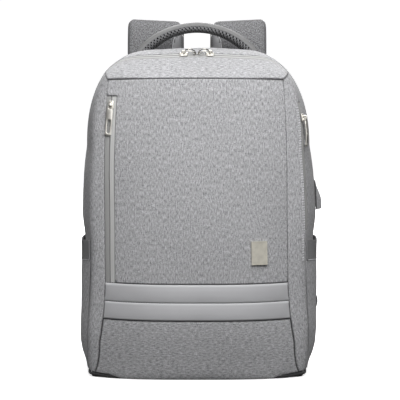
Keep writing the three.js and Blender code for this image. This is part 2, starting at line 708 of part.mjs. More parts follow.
/** The carry handle: an arched mesh grip under a smooth cover, cut to sit on the top of the gusset. */
function addHandle() {
  const centre = HANDLE.top - HANDLE.thick / 2 - HANDLE.radius;
  const path = stations(-HANDLE.sweep, HANDLE.sweep, 6).map((degrees) => {
    const turn = degToRad(degrees);
    return vec(HANDLE.radius * Math.sin(turn), HANDLE.y, centre + HANDLE.radius * Math.cos(turn));
  });
  const cover = HANDLE.thick * HANDLE.capShare;
  const grip = HANDLE.thick - cover - SEAM_GAP;
  const seat = lifted(gusset, SEAM_GAP);
  const acrossTop = BACK_TURNS.slice(1, -1);
  const ground = (drop) => TOP_QS.map((q) => acrossTop.map((t) => seat(q, t).sub(vec(0, 0, drop))));
  const under = shell(ground(0), ground(2 * HANDLE.wide));
  const arch = (thickness, raise, chamfer) => {
    const section = strap(HANDLE.wide, thickness, chamfer, raise);
    return cut(ribbon(path, vec(0, 1, 0), () => section), under);
  };
  const { thick, chamfer } = HANDLE;
  piece('handle_cover', arch(cover, (thick - cover) / 2, chamfer / 2), materials.pu);
  piece('handle_grip', arch(grip, (grip - thick) / 2, chamfer), materials.mesh);
}

/** One shoulder strap with its adjuster, webbing and tab. */
function addStrap(side, name) {
  const flat = BACK_FACE + SEAM_GAP + STRAP.endThickness / 2;
  const route = STRAP_ROUTE.map(({ out, back, rise }) => {
    return vec(side * (STRAP.x + out * STRAP.spread), flat + back * STRAP.loop, rise * STRAP.top);
  });
  const path = new THREE.CatmullRomCurve3(route, false, 'centripetal').getSpacedPoints(30);
  const outline = (share) => {
    const narrow = lerp(STRAP.width, STRAP.waist, smoothstep(share, 0.3, 0.7));
    const taper = smoothstep(share, 0.9, 1);
    const thickness = lerp(STRAP.endThickness, STRAP.thickness, smoothstep(share, 0.06, 0.2) * (1 - taper));
    return strap(lerp(narrow, STRAP.end, taper), thickness, 1.5);
  };
  const corner = (point, a, share) => {
    const outer = smoothstep(a * side, STRAP.width * 0.2, STRAP.width * 0.5);
    const arch = smoothstep(share, 0.05, 0.16) * (1 - smoothstep(share, 0.28, 0.45));
    return point.setZ(point.z - STRAP.cornerDrop * outer * outer * arch);
  };
  piece(`strap_${name}`, ribbon(path, vec(1, 0, 0), outline, corner), materials.mesh);

  const end = path[path.length - 1];
  const along = end.clone().sub(path[path.length - 2]).normalize();
  const outward = along.clone().cross(vec(1, 0, 0)).negate().normalize();
  const seat = seatOn(end, outward, along.clone().negate());
  const frame = roundRect(ADJUSTER.width, ADJUSTER.height, 3);
  const window = (ADJUSTER.height - 3 * ADJUSTER.bar) / 2;
  for (const half of [-1, 1]) {
    const y = (half * (window + ADJUSTER.bar)) / 2;
    frame.holes.push(roundRect(ADJUSTER.width - 2 * ADJUSTER.side, window, 1, y, THREE.Path));
  }
  const drop = ADJUSTER.height / 2 + SEAM_GAP;
  const buckle = plate(frame, ADJUSTER.thickness).translate(0, -drop, 0);
  piece(`adjuster_${name}`, buckle, materials.plastic, seat);

  const tabX = HALF - TAB.inset;
  const tabY = BACK_FACE + SEAM_GAP + TAB.thickness / 2;
  const tab = new THREE.Shape();
  tab.moveTo(-TAB.width / 2, 0).lineTo(TAB.width / 2, 0).lineTo(TAB.width / 2, TAB.height);
  tab.lineTo(TAB.width / 2 - WEBBING.width, TAB.height);
  const flap = plate(tab, TAB.thickness).rotateX(Math.PI / 2);
  if (side < 0) flap.rotateZ(Math.PI);
  piece(`webbing_tab_${name}`, flap.translate(side * tabX, tabY, TAB.z), materials.darkFabric);

  const bow = side < 0 ? WEBBING.leftBow : WEBBING.rightBow;
  const webX = side * (tabX + (TAB.width - WEBBING.width) / 2);
  const webY = tabY + (TAB.thickness + WEBBING.thickness) / 2 + 2 * SEAM_GAP;
  const inner = seat.localToWorld(vec(0, 0, -(ADJUSTER.thickness + WEBBING.thickness) / 2 - 2 * SEAM_GAP));
  const web = [
    vec(webX, webY, TAB.z + 3),
    vec(webX, webY, TAB.z + TAB.height * 0.45),
    vec(side * bow, BACK_FACE + STRAP.loop * 0.45, WEBBING.bowHeight),
    inner.clone().addScaledVector(along, 2 * drop + ADJUSTER.bar),
    inner.clone().addScaledVector(along, drop),
  ];
  const slack = new THREE.CatmullRomCurve3(web).getSpacedPoints(16);
  const strip = ribbon(slack, vec(1, 0, 0), () => strap(WEBBING.width, WEBBING.thickness, 0.4));
  piece(`webbing_${name}`, strip, materials.darkFabric);
}

/** A slider's body with two lugs and the bar that carries its pull. */
function sliderBody() {
  const base = SEAM_GAP + SLIDER.thickness;
  const lift = base + PULL.eye + CLEARANCE;
  const lugHeight = lift + BAR_RADIUS + SLIDER.lug / 2 - base;
  const lugX = (SLIDER.width - SLIDER.lug) / 2;
  const root = 0.2;
  const middle = base + (lugHeight - root) / 2;
  const lug = (x) => block(SLIDER.lug, SLIDER.lugLength, lugHeight + root, [x, 0, middle]);
  const body = block(SLIDER.width, SLIDER.length, SLIDER.thickness, [0, 0, SEAM_GAP + SLIDER.thickness / 2]);
  return join(body, lug(-lugX), lug(lugX), rod(BAR_RADIUS, SLIDER.width - 0.2, 'x', [0, 0, lift]));
}

/** A pull: a slotted tab that hangs from the bar by an eye. */
function pullTab({ length, slot }) {
  const eyeWidth = SLIDER.width - 2 * SLIDER.lug - 2 * CLEARANCE;
  const shape = new THREE.Shape();
  const top = -(PULL.eye + BAR_RADIUS + CLEARANCE) / 2;
  const half = PULL.width / 2;
  const round = half * 0.6;
  shape.moveTo(-eyeWidth / 2, top).lineTo(-half, -PULL.shoulder).lineTo(-half, -length + round);
  shape.absarc(-half + round, -length + round, round, Math.PI, 1.5 * Math.PI);
  shape.absarc(half - round, -length + round, round, 1.5 * Math.PI, 2 * Math.PI);
  shape.lineTo(half, -PULL.shoulder).lineTo(eyeWidth / 2, top);
  const middle = -length + PULL.slotEnd + slot / 2;
  shape.holes.push(roundRect(PULL.slotWidth, slot, PULL.slotWidth * 0.45, middle, THREE.Path));
  const eye = new THREE.Shape().absarc(0, 0, PULL.eye, 0, 2 * Math.PI);
  eye.holes.push(new THREE.Path().absarc(0, 0, BAR_RADIUS + CLEARANCE, 0, 2 * Math.PI));
  return join(plate(shape, PULL.thickness), plate(eye, eyeWidth, 5).rotateY(Math.PI / 2));
}

/** A slider on a zip, with its pull hanging away from up and its tip close to the surface. */
function addSlider(name, point, normal, up, size) {
  const seat = seatOn(point, normal, up);
  piece(`slider_${name}`, sliderBody(), materials.metal, seat);
  const lift = SEAM_GAP + SLIDER.thickness + PULL.eye + CLEARANCE;
  const hang = new THREE.Group();
  hang.position.z = lift;
  hang.rotation.x = Math.asin((lift - PULL.thickness / 2 - PULL.stand) / size.length);
  seat.add(hang);
  piece(`pull_${name}`, pullTab(size), materials.metal, hang);
}

/** The four sliders, each on its own zip tape. */
function addSliders() {
  const leftPlace = placeOf(LEFT_SLIDER_Z);
  const leftTape = lifted(besideLeftSeam, -TAPE_SINK);
  const middle = TAPE_WIDTH / 2;
  const leftNormal = normalOf(besideLeftSeam, middle, leftPlace);
  addSlider('left', leftTape(middle, leftPlace), leftNormal, vec(0, 0, 1), LONG_PULL);

  const sideStrip = besideLine(SIDE_ZIP_PLACE);
  const rightQ = 1 - placeOf(RIGHT_SLIDER_Z);
  const rightPoint = lifted(sideStrip, -TAPE_SINK)(rightQ, 0);
  addSlider('right', rightPoint, normalOf(sideStrip, rightQ, 0), vec(0, 0, 1), LONG_PULL);

  const ridgeStrip = besideLine(2);
  const topQ = (TOP_SLIDER_X / TOP_FLAT) * (1 - TOP_START);
  for (const [name, side] of [['top_left', -1], ['top_right', 1]]) {
    const point = lifted(ridgeStrip, -TAPE_SINK)(side * topQ, 0);
    addSlider(name, point, normalOf(ridgeStrip, side * topQ, 0), vec(side, 0, 0), SHORT_PULL);
  }
}

addFront();
addGusset();
addBase();
addBackPanel();
addPocket(-1, 'left');
addPocket(1, 'right');
addHood();
addBadge();
addHandle();
addStrap(-1, 'left');
addStrap(1, 'right');
addSliders();

export default bag;
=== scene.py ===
"""Looks for a zipped laptop backpack: its cloth, zips, padding and metal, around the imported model's solids.

Lengths in the code are in millimetres and become metres when a mesh is made. The front faces -Y.
The body is two surfaces: the face between the front seams, and the gusset round the sides and the top.
"""
import math

import bmesh
import bpy
import numpy as np
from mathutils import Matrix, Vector, kdtree


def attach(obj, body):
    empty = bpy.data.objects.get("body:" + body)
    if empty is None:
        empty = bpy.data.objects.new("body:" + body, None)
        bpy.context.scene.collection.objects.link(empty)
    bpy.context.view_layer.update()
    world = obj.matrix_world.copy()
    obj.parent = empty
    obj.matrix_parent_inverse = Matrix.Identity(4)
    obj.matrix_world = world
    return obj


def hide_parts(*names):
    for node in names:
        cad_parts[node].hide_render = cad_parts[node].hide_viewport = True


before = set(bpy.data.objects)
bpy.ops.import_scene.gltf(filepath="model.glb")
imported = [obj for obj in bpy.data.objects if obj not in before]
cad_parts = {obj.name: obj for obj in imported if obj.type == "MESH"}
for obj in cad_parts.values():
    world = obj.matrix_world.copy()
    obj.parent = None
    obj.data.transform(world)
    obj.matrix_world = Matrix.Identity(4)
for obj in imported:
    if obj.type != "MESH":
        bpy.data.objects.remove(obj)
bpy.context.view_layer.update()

MM = 0.001
BODY = "bag"

# The body's sizes.
HEIGHT, WIDTH, DEPTH = 428.0, 312.0, 150.0
HALF = WIDTH / 2
BACK_Y, RIDGE_Y, LEAN, WALL, SEAM_GAP = 0.467 * DEPTH, 0.047 * DEPTH, 3.0, 3.0, 0.4
CORNER_POWER, CROWN, TOP_FLAT = 2.2, 3.0, 60.0
BACK_DROP, BACK_ROLL, BACK_INSET = 12.0, 14.0, 3.0
SEAM_HEIGHT, SEAM_CROWN, STRIP_CURL, BROW_CURL = 387.0, 2.0, 5.0, 9.0
BROW_EDGE, SEAM_LEAN, FACE_POWER = 0.22, 3.5, 3.0
BENDS = np.array([0.0, 9.0, 24.0, 11.0, 0.0])
KNEE, SHOULDER, BROW_START, TOP_SEAM, TOP_START = 0.15, 0.6, 0.69, 0.75, 0.88

# Sections from the floor up: height, ridge, seam, edge, depth and bulge.
ROWS = np.array([
    [0.0, 0.895, 0.885, 0.75, -0.42, 0.1],
    [0.11, 0.955, 0.812, 0.76, -0.455, 0.14],
    [0.24, 0.966, 0.765, 0.66, -0.44, 0.14],
    [0.39, 0.974, 0.755, 0.59, -0.415, 0.13],
    [0.49, 1.0, 0.75, 0.57, -0.395, 0.12],
    [0.69, 0.952, 0.745, 0.6, -0.35, 0.09],
    [0.93, 0.78, 0.715, 0.74, -0.29, 0.04],
])
RIDGE, SEAM, EDGE, OUT, BULGE = 1, 2, 3, 4, 5
FLOOR_ROW, KNEE_ROW, SHOULDER_ROW = ROWS[0], ROWS[1], ROWS[5]
KNEE_Z, SHOULDER_Z = KNEE_ROW[0] * HEIGHT, SHOULDER_ROW[0] * HEIGHT

# Pieces on the body.
BAND_BOTTOM, BAND_WIDTH, BAND_PROUD = 78.0, 23.5, 1.2
TAPE_WIDTH, TAPE_SINK = 13.0, 0.8
FRONT_ZIP_TOP, SIDE_ZIP_TOP, SIDE_ZIP_BOTTOM = 365.0, 352.0, 190.0
SIDE_ZIP_PLACE, SIDE_TAPE_WIDTH = 1.1, 9.0
MAIN_ZIP_HALF, MAIN_ZIP_END, MAIN_ZIP_SHARE = 5.0, 0.4, 0.64
PIPING_RADIUS, PIPING_INSET = 2.0, 0.6
POCKET_TOP, POCKET_BAND, POCKET_WALL, POCKET_SPACE = 169.0, 26.0, 1.6, 5.8
POCKET_FRONT, POCKET_BACK, POCKET_FADE = 1.1, 2.88, 0.2
POCKET_MOUTH, MOUTH_RISE = 0.62, 7.0
HOOD_TOP, HOOD_LENGTH, HOOD_WIDTH, HOOD_WALL = 243.0, 37.0, 28.0, 1.4
HOOD_SPACE, HOOD_FRONT, HOOD_FADE = 6.5, 2.1, 0.3
BACK_PAD, QUILT_ROWS, QUILT_DEPTH = 13, (96, 182, 268), 5.5
BACK_FACE = BACK_Y + 1 + 10
HANDLE_RADIUS, HANDLE_Y, HANDLE_WIDE, HANDLE_THICK, HANDLE_TOP = 95.0, 52.0, 24.0, 14.0, 457.0
# The pitch of the grip's holes, round the handle and along it.
GRIP_PITCH = (6.4, 4.95)
STRAP_X, STRAP_WIDTH, STRAP_WAIST, STRAP_END = 56.0, 76.0, 62.0, 28.0
STRAP_THICKNESS, STRAP_END_THICKNESS, STRAP_TOP = 12.0, 5.0, 462.0
STRAP_LOOP, STRAP_SPREAD = 44.0, 40.0
STRAP_ROUTE = [
    (0, 0, 0.8), (0, 0.05, 0.86), (0, 0.24, 0.955), (0, 0.58, 0.985), (0, 0.92, 0.94),
    (0.02, 1, 0.82), (0.1, 1, 0.6), (0.5, 0.9, 0.42), (1, 0.72, 0.28),
]
# A strap's corners over the shoulder, and the lined zone along its inner edge, with painted shade: its width, start
# and end below the crest.
OUTER_CORNER, INNER_CORNER = 5.5, 12
FOLD_WIDE, FOLD_DROP, FOLD_END, FOLD_CURVE = 15.0, 13.0, 60, 22
WEB_WIDTH, WEB_THICKNESS, BOW_HEIGHT, BOWS = 25.0, 2.0, 74.0, {-1: 143.0, 1: 154.0}
BUCKLE_HEIGHT, BUCKLE_THICKNESS, BUCKLE_BAR = 27.0, 4.0, 4.0
TAB_WIDTH, TAB_HEIGHT, TAB_THICKNESS, TAB_INSET, TAB_Z = 32.0, 34.0, 3.0, 44.0, 14.0

# Where the seams' pull changes: heights over the floor, and distances from the middle for the top's corners.
LOW_ZONE, BAND_ZONE, TOP_ZONE, CORNER_ZONE = (70, 90), (122, 132), (372, 381), (50, 100)
# How far the cloth is drawn up round the base's front corners, and where.
CORNER_RISE, RISE_X, RISE_Y, RISE_Z = 2.6, (114, 141), (-25, 15), (4, 50)
# How the lower front's cloth hangs over the piping: where, how far down, and how far out at its two faces.
DRAPE_X, DRAPE_Z, DRAPE_DOWN, DRAPE_OUT = (95, 118), (4, 30), 4.1, (1.6, 2.7)
# The seams' painted shade: no painted shade at all, none but in the seam, and what a slack seam adds to the
# distance.
FAR, CLEAR_SHADE, SLACK_SHADE = 20.0, 2.2, 1.9


# ---------- numbers ----------

def lerp(a, b, f):
    return a + (b - a) * f


def ease(x, low, high):
    f = np.clip((x - low) / (high - low), 0, 1)
    return f * f * (3 - 2 * f)


def points(x, y, z):
    return np.stack(np.broadcast_arrays(x, y, z), -1).astype(float)


def length(v):
    return np.linalg.norm(v, axis=-1)


def unit(v):
    return v / np.maximum(length(v), 1e-12)[..., None]


def travel(path):
    """The distance along a path at each of its points."""
    return np.concatenate([[0], np.cumsum(length(np.diff(path, axis=0)))])


def whole_length(path):
    return float(length(np.diff(path, axis=0)).sum())


def at_marks(marks, run, path):
    """The points of a path at distances along it, where run is the path's travel."""
    return np.stack([np.interp(marks, run, path[:, k]) for k in range(path.shape[1])], -1)


def signed_power(x, power):
    return np.sign(x) * np.abs(x) ** power


def pair(a, b):
    return np.broadcast_arrays(np.asarray(a, float), np.asarray(b, float))


def noise2(x, y, seed):
    """Smooth noise from -1 to 1 with one bump for each unit of x and y."""
    lattice = np.random.RandomState(seed).uniform(-1, 1, (64, 64))
    x, y = pair(x, y)
    i, j = np.floor(x).astype(int), np.floor(y).astype(int)
    f, g = x - i, y - j
    f, g = f * f * (3 - 2 * f), g * g * (3 - 2 * g)
    at = lambda a, b: lattice[a % 64, b % 64]
    low = lerp(at(i, j), at(i + 1, j), f)
    high = lerp(at(i, j + 1), at(i + 1, j + 1), f)
    return lerp(low, high, g)


# ---------- the body's surfaces ----------

def section(column, z):
    heights, values = ROWS[:, 0] * HEIGHT, ROWS[:, column]
    i = np.clip(np.searchsorted(heights, z, side="right") - 1, 0, len(heights) - 2)
    k = np.arange(len(heights))
    a, b = np.maximum(k - 1, 0), np.minimum(k + 1, len(heights) - 1)
    slope = (values[b] - values[a]) / (heights[b] - heights[a])
    span = heights[i + 1] - heights[i]
    f = np.clip((z - heights[i]) / span, 0, 1)
    step = (values[i + 1] - values[i]) * f * f * (3 - 2 * f)
    return values[i] + step + f * (1 - f) ** 2 * span * slope[i] + f * f * (f - 1) * span * slope[i + 1]


def ridge(p):
    """Half width and height of the widest outline, from p = 0 at the floor to 1 at the middle of the top."""
    p = np.asarray(p, float)
    turn = np.clip(p / KNEE, 0, 1) * math.pi / 2
    low_x = lerp(FLOOR_ROW[RIDGE], KNEE_ROW[RIDGE], np.sin(turn)) * HALF
    low_z = KNEE_Z * (1 - np.cos(turn))
    side_z = lerp(KNEE_Z, SHOULDER_Z, np.clip((p - KNEE) / (SHOULDER - KNEE), 0, 1))
    side_x = section(RIDGE, side_z) * HALF
    turn = np.clip((p - SHOULDER) / (TOP_START - SHOULDER), 0, 1) * math.pi / 2
    bend_x = lerp(TOP_FLAT, SHOULDER_ROW[RIDGE] * HALF, np.abs(np.cos(turn)) ** (2 / CORNER_POWER))
    bend_z = lerp(SHOULDER_Z, HEIGHT - CROWN, np.sin(turn) ** (2 / CORNER_POWER))
    f = np.clip((p - TOP_START) / (1 - TOP_START), 0, 1)
    top_x, top_z = TOP_FLAT * (1 - f), HEIGHT - CROWN + CROWN * np.sin(f * math.pi / 2)
    zones = [p < KNEE, p < SHOULDER, p < TOP_START]
    return np.select(zones, [low_x, side_x, bend_x], top_x), np.select(zones, [low_z, side_z, bend_z], top_z)


TOP_SEAM_X, TOP_SEAM_Z = (float(v) for v in ridge(TOP_SEAM))


def seam(p):
    """The front seam: half width, depth, height, bulge of the face and share of the strip beside it."""
    p = np.asarray(p, float)
    out = np.sin(np.clip(p / KNEE, 0, 1) * math.pi / 2)
    z = np.where(p < KNEE, ridge(p)[1], ridge(np.minimum(p, TOP_SEAM))[1] * (SEAM_HEIGHT / TOP_SEAM_Z))

    def column(k):
        return np.where(p < KNEE, lerp(FLOOR_ROW[k], KNEE_ROW[k], out), section(k, z))

    return column(SEAM) * HALF, column(OUT) * DEPTH, z, column(BULGE) * DEPTH, column(EDGE)


def face(across, p):
    x, y, z, bulge, _ = seam(p)
    across = np.asarray(across, float)
    lift = SEAM_CROWN * ease(p, SHOULDER, TOP_SEAM) * (1 - across ** 2)
    lean = SEAM_LEAN * ease(p, KNEE, SHOULDER) * np.maximum(-across, 0)
    return points(x * across - lean, y - bulge * (1 - np.abs(across) ** FACE_POWER), z + lift)


def gusset_lines(q):
    q = np.asarray(q, float)
    p, side = 1 - np.abs(q), np.where(q < 0, -1.0, 1.0)
    x, z = ridge(p)
    top = ease(p, SHOULDER, TOP_START)
    lean = LEAN * np.sin(math.pi * np.minimum(p / TOP_SEAM, 1))
    on_ridge = points(side * x + lean, RIDGE_Y, z)
    on_seam = face(side * np.where(p < TOP_SEAM, 1.0, x / TOP_SEAM_X), np.minimum(p, TOP_SEAM))
    edge = lerp(seam(p)[4], BROW_EDGE, ease(p, BROW_START, TOP_START))
    on_edge = lerp(on_seam, on_ridge, edge[..., None])
    on_edge[..., 1] = on_seam[..., 1] + lerp(STRIP_CURL, BROW_CURL, top)
    back_z = z - BACK_DROP * top
    on_back = points(on_ridge[..., 0] * (1 - BACK_INSET / HALF), BACK_Y, back_z)
    rolled = points(on_ridge[..., 0] * (1 - BACK_ROLL / HALF), BACK_Y + 1, back_z - BACK_ROLL * top)
    return np.stack([on_seam, on_edge, on_ridge, on_back, rolled])


def along_legs(q, leg):
    q, leg = pair(q, leg)
    lines = gusset_lines(q)
    pick = lambda k: np.take_along_axis(lines, np.broadcast_to(k[None, ..., None], (1, *k.shape, 3)), 0)[0]
    k = np.clip(np.round(leg), 1, 3).astype(int)
    here, back, ahead = pick(k), pick(k - 1), pick(k + 1)
    before = np.minimum(BENDS[k] / length(here - back), 0.49)
    after = np.minimum(BENDS[k] / length(ahead - here), 0.49)
    a, b = lerp(here, back, before[..., None]), lerp(here, ahead, after[..., None])
    f = np.clip((leg - k + before) / (before + after), 0, 1)[..., None]
    bent = lerp(lerp(a, here, f), lerp(here, b, f), f)
    start = np.clip(np.floor(leg), 0, 3).astype(int)
    straight = lerp(pick(start), pick(start + 1), (leg - start)[..., None])
    return np.where(((leg > k - before) & (leg < k + after))[..., None], bent, straight)


def leg_of(q, t):
    share = lerp(1, MAIN_ZIP_SHARE, ease(1 - np.abs(q), SHOULDER, TOP_START))
    t = np.asarray(t, float)
    return np.where((t < 1) | (t > 3), t, np.where(t < 2, 1 + (t - 1) * share, lerp(1 + share, 3, t - 2)))


def gusset(q, t):
    return along_legs(q, leg_of(q, t))


def leg_beside(q, t, distance):
    h, leg = 0.01, leg_of(q, t)
    pace = length(along_legs(q, leg + h) - along_legs(q, leg - h)) / (2 * h)
    return leg + distance / pace


def beside_line(t):
    return lambda q, distance: along_legs(q, leg_beside(q, t, distance))


def banded(breaks):
    """The gusset as (q, s), where whole values of s are the lines in breaks: (t, distance back from it)."""
    def surface(q, s):
        q, s = pair(q, s)
        legs = np.stack([leg_beside(q, t, d) for t, d in breaks])
        i = np.clip(np.floor(s), 0, len(breaks) - 2).astype(int)
        low = np.take_along_axis(legs, i[None], 0)[0]
        high = np.take_along_axis(legs, i[None] + 1, 0)[0]
        return along_legs(q, lerp(low, high, s - i))
    return surface


def front(s, p):
    """The face as (s, p): s is 0 to 1 over the zip's tape beside the left seam and 1 to 2 over the rest."""
    s, p = pair(s, p)
    start = -1 + TAPE_WIDTH / seam(p)[0]
    return face(np.where(s < 1, lerp(-1, start, s), lerp(start, 1, s - 1)), p)


def normal_of(surface, u, v):
    h = 1e-3
    return unit(np.cross(surface(u + h, v) - surface(u - h, v), surface(u, v + h) - surface(u, v - h)))


def lifted(surface, lift):
    def moved(u, v):
        rise = lift(u, v) if callable(lift) else lift
        return surface(u, v) + normal_of(surface, u, v) * np.asarray(rise, float)[..., None]
    return moved


def place_of(z):
    low, high = 0.0, TOP_SEAM
    while high - low > 1e-6:
        middle = (low + high) / 2
        low, high = (middle, high) if seam(middle)[2] < z else (low, middle)
    return low


BAND_MIDDLE, BAND_TOP = BAND_BOTTOM + BAND_WIDTH, BAND_BOTTOM + 2 * BAND_WIDTH
PANEL_START = KNEE * math.acos(1 - (2 * PIPING_RADIUS + SEAM_GAP) / KNEE_Z) / (math.pi / 2)


# ---------- meshes ----------

# Distances from an edge at which a grid has its first lines, so that the edge can roll under.
EDGE_LINES = [0, 0.35, 0.8, 1.4, 2.2, 3.4]


def spaced(start, end, size, step=3.0):
    """Values from start to end over size millimetres: close together at both ends and a step apart between."""
    ends = [d for d in EDGE_LINES if d < size * 0.45]
    first, last = ends[-1], size - ends[-1]
    count = max(1, round((last - first) / step))
    middle = [lerp(first, last, k / count) for k in range(1, count)]
    marks = ends + middle + [size - d for d in reversed(ends)]
    return [lerp(start, end, d / size) for d in marks]


def joined(*lists):
    """Lists of values that each begin where the last one ended, as one array."""
    out = list(lists[0])
    for values in lists[1:]:
        out += values[1:]
    return np.array(out)


def make(name, verts, faces, material, node=None, cloth=None, crease=40, face_materials=None, rim=None,
         body=BODY):
    """A mesh piece in metres that rides on a body. cloth holds the fabric's own place in millimetres, and rim
    each point's painted seam shade, given as a distance to the nearest seam."""
    mesh = bpy.data.meshes.new(name)
    mesh.from_pydata((np.asarray(verts) * MM).tolist(), [], faces)
    materials = material if isinstance(material, (list, tuple)) else [material]
    for m in materials:
        mesh.materials.append(m)
    if face_materials is not None:
        mesh.polygons.foreach_set("material_index", np.asarray(face_materials, np.int32))
    if cloth is not None:
        flat = np.zeros((len(verts), 3), np.float32)
        flat[:, :2] = cloth
        mesh.attributes.new("cloth", "FLOAT_VECTOR", "POINT").data.foreach_set("vector", flat.ravel())
    near = np.full(len(verts), FAR) if rim is None else rim
    mesh.attributes.new("rim", "FLOAT", "POINT").data.foreach_set("value", np.asarray(near, np.float32))
    mesh.polygons.foreach_set("use_smooth", np.ones(len(mesh.polygons), bool))
    mesh.validate()
    mesh.set_sharp_from_angle(angle=math.radians(crease))
    obj = bpy.data.objects.new(name, mesh)
    bpy.context.scene.collection.objects.link(obj)
    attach(obj, body)
    if node:
        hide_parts(*([node] if isinstance(node, str) else node))
    return obj


def shell_faces(keep):
    """Faces of a closed wall over the kept cells of a grid, with the inner grid's points after the outer's."""
    rows, columns = keep.shape[0] + 1, keep.shape[1] + 1
    out = np.arange(rows * columns).reshape(rows, columns)
    into = out + rows * columns
    padded = np.pad(keep, 1)
    i, j = np.nonzero(keep)
    a, b, c, d = (i, j), (i + 1, j), (i + 1, j + 1), (i, j + 1)
    quads = [(out[a], out[b], out[c], out[d]), (into[a], into[d], into[c], into[b])]
    for (di, dj), (f, g) in {(-1, 0): (a, d), (1, 0): (c, b), (0, -1): (b, a), (0, 1): (d, c)}.items():
        open_side = ~padded[i + 1 + di, j + 1 + dj]
        f, g = tuple(k[open_side] for k in f), tuple(k[open_side] for k in g)
        quads.append((out[f], out[g], into[g], into[f]))
    return np.concatenate([np.stack(q, -1) for q in quads])


def edge_distance(grid, keep):
    """Each grid point's distance to the nearest edge of the kept cells."""
    count = np.pad(keep, 1).astype(int)
    around = count[:-1, :-1] + count[1:, :-1] + count[:-1, 1:] + count[1:, 1:]
    rim = grid[(around > 0) & (around < 4)]
    tree = kdtree.KDTree(len(rim))
    for k, point in enumerate(rim):
        tree.insert(point, k)
    tree.balance()
    flat = grid.reshape(-1, 3)
    return np.array([tree.find(point)[2] for point in flat]).reshape(grid.shape[:2])


def rolled_edge(distance, radius, drop):
    """How far an edge of that radius falls away: drop at the edge and nothing beyond the radius."""
    f = 1 - np.clip(distance / radius, 0, 1)
    return -drop * (1 - np.sqrt(np.maximum(1 - f * f, 0)))


def patch(name, surface, us, vs, material, node, slot, wall=WALL, keep=None, relief=None, radius=2.3, drop=2.5,
          gap=0.2, along="v", lift=0.0, strength=1.0, line=None, bright=None, shift=None, inside=0.0):
    """A sewn panel on a surface. relief(grid, distance, u, v) adds to its height, and along says which way the
    cloth's warp runs. The others are numbers over (grid, u, v): strength says how deep its seams are pulled in,
    from 0 to 1, and how dark their painted shade is, line is the distance to a line of painted shade inside the
    panel, bright is the least distance that the painted shade may take, and shift gives the outer and inner
    faces' moves. inside is the painted shade on the cloth's cut edge."""
    u, v = np.meshgrid(np.asarray(us, float), np.asarray(vs, float), indexing="ij")
    grid, normal = surface(u, v), normal_of(surface, u, v)
    mask = np.ones((len(us) - 1, len(vs) - 1), bool)
    if keep is not None:
        mask = keep(*((w[:-1, :-1] + w[1:, 1:]) / 2 for w in (u, v)))
    distance = edge_distance(grid, mask)
    pull = strength(grid, u, v) if callable(strength) else np.full(distance.shape, float(strength))
    height = lift + rolled_edge(distance, radius, drop) * lerp(0.3, 1, pull)
    if relief is not None:
        height = height + relief(grid, distance, u, v)
    count = np.pad(mask, 1).astype(float)
    rows, columns = np.diff(count, axis=0), np.diff(count, axis=1)
    inward = (rows[:, 1:] + rows[:, :-1])[..., None] * unit(np.gradient(grid, axis=0))
    inward += (columns[1:] + columns[:-1])[..., None] * unit(np.gradient(grid, axis=1))
    step = unit(inward) * gap * (distance < 1e-6)[..., None]
    outer, inner = grid + normal * height[..., None] + step, grid + normal * (lift - wall) + step * 2
    if shift is not None:
        moves = shift(grid, u, v)
        outer, inner = outer + moves[0], inner + moves[1]
    step_u, step_v = (length(np.diff(grid, axis=axis)) for axis in (0, 1))
    arc_u = np.pad(np.cumsum(step_u, 0), ((1, 0), (0, 0)))
    arc_v = np.pad(np.cumsum(step_v, 1), ((0, 0), (1, 0)))
    arc_u -= arc_u[len(us) // 2][None, :]
    cloth = np.stack([arc_u, arc_v] if along == "v" else [arc_v, arc_u], -1).reshape(-1, 2)
    # Painted seam shade, given as a distance: darkest in the seam, and lighter where the seam is slack.
    shade = distance + SLACK_SHADE * (1 - pull)
    if line is not None:
        shade = np.minimum(shade, line(grid, u, v))
    if bright is not None:
        shade = np.maximum(shade, bright(grid, u, v))
    faces = shell_faces(mask)
    used = np.unique(faces)
    renumber = np.zeros(2 * distance.size, int)
    renumber[used] = np.arange(len(used))
    verts = np.concatenate([outer.reshape(-1, 3), inner.reshape(-1, 3)])[used]
    rim = np.concatenate([shade.ravel(), np.full(distance.size, inside)])[used]
    both = np.concatenate([cloth, cloth])[used]
    return make(name, verts, renumber[faces].tolist(), material, node, both, rim=rim)


def shell(name, surface, us, vs, node, **more):
    """A panel of the bag's own cloth."""
    return patch(name, surface, us, vs, SHELL, node, "shell_fabric", **more)


def tube(name, rings, material, node, closed=False, crease=40, ring_materials=None, flip=False, rim=None):
    """Rings of points joined along a path. An open tube has flat ends. The cloth runs along the path."""
    count, around = rings.shape[:2]
    spans = count if closed else count - 1
    i, j = np.meshgrid(np.arange(spans), np.arange(around), indexing="ij")
    n, k = (i + 1) % count, (j + 1) % around
    faces = np.stack([i * around + j, i * around + k, n * around + k, n * around + j], -1).reshape(-1, 4).tolist()
    kinds = None if ring_materials is None else np.broadcast_to(ring_materials, (spans, around)).ravel().tolist()
    if not closed:
        faces += [list(range(around - 1, -1, -1)), [(count - 1) * around + m for m in range(around)]]
        if kinds is not None:
            kinds += [kinds[0]] * 2
    if flip:
        faces = [f[::-1] for f in faces]
    girth = np.concatenate([np.zeros((count, 1)), np.cumsum(length(np.diff(rings, axis=1)), 1)], 1)
    cloth = np.stack([girth, np.broadcast_to(travel(rings.mean(1))[:, None], girth.shape)], -1).reshape(-1, 2)
    rim = None if rim is None else np.broadcast_to(rim, rings.shape[:2]).ravel()
    return make(name, rings.reshape(-1, 3), faces, material, node, cloth, crease, kinds, rim)


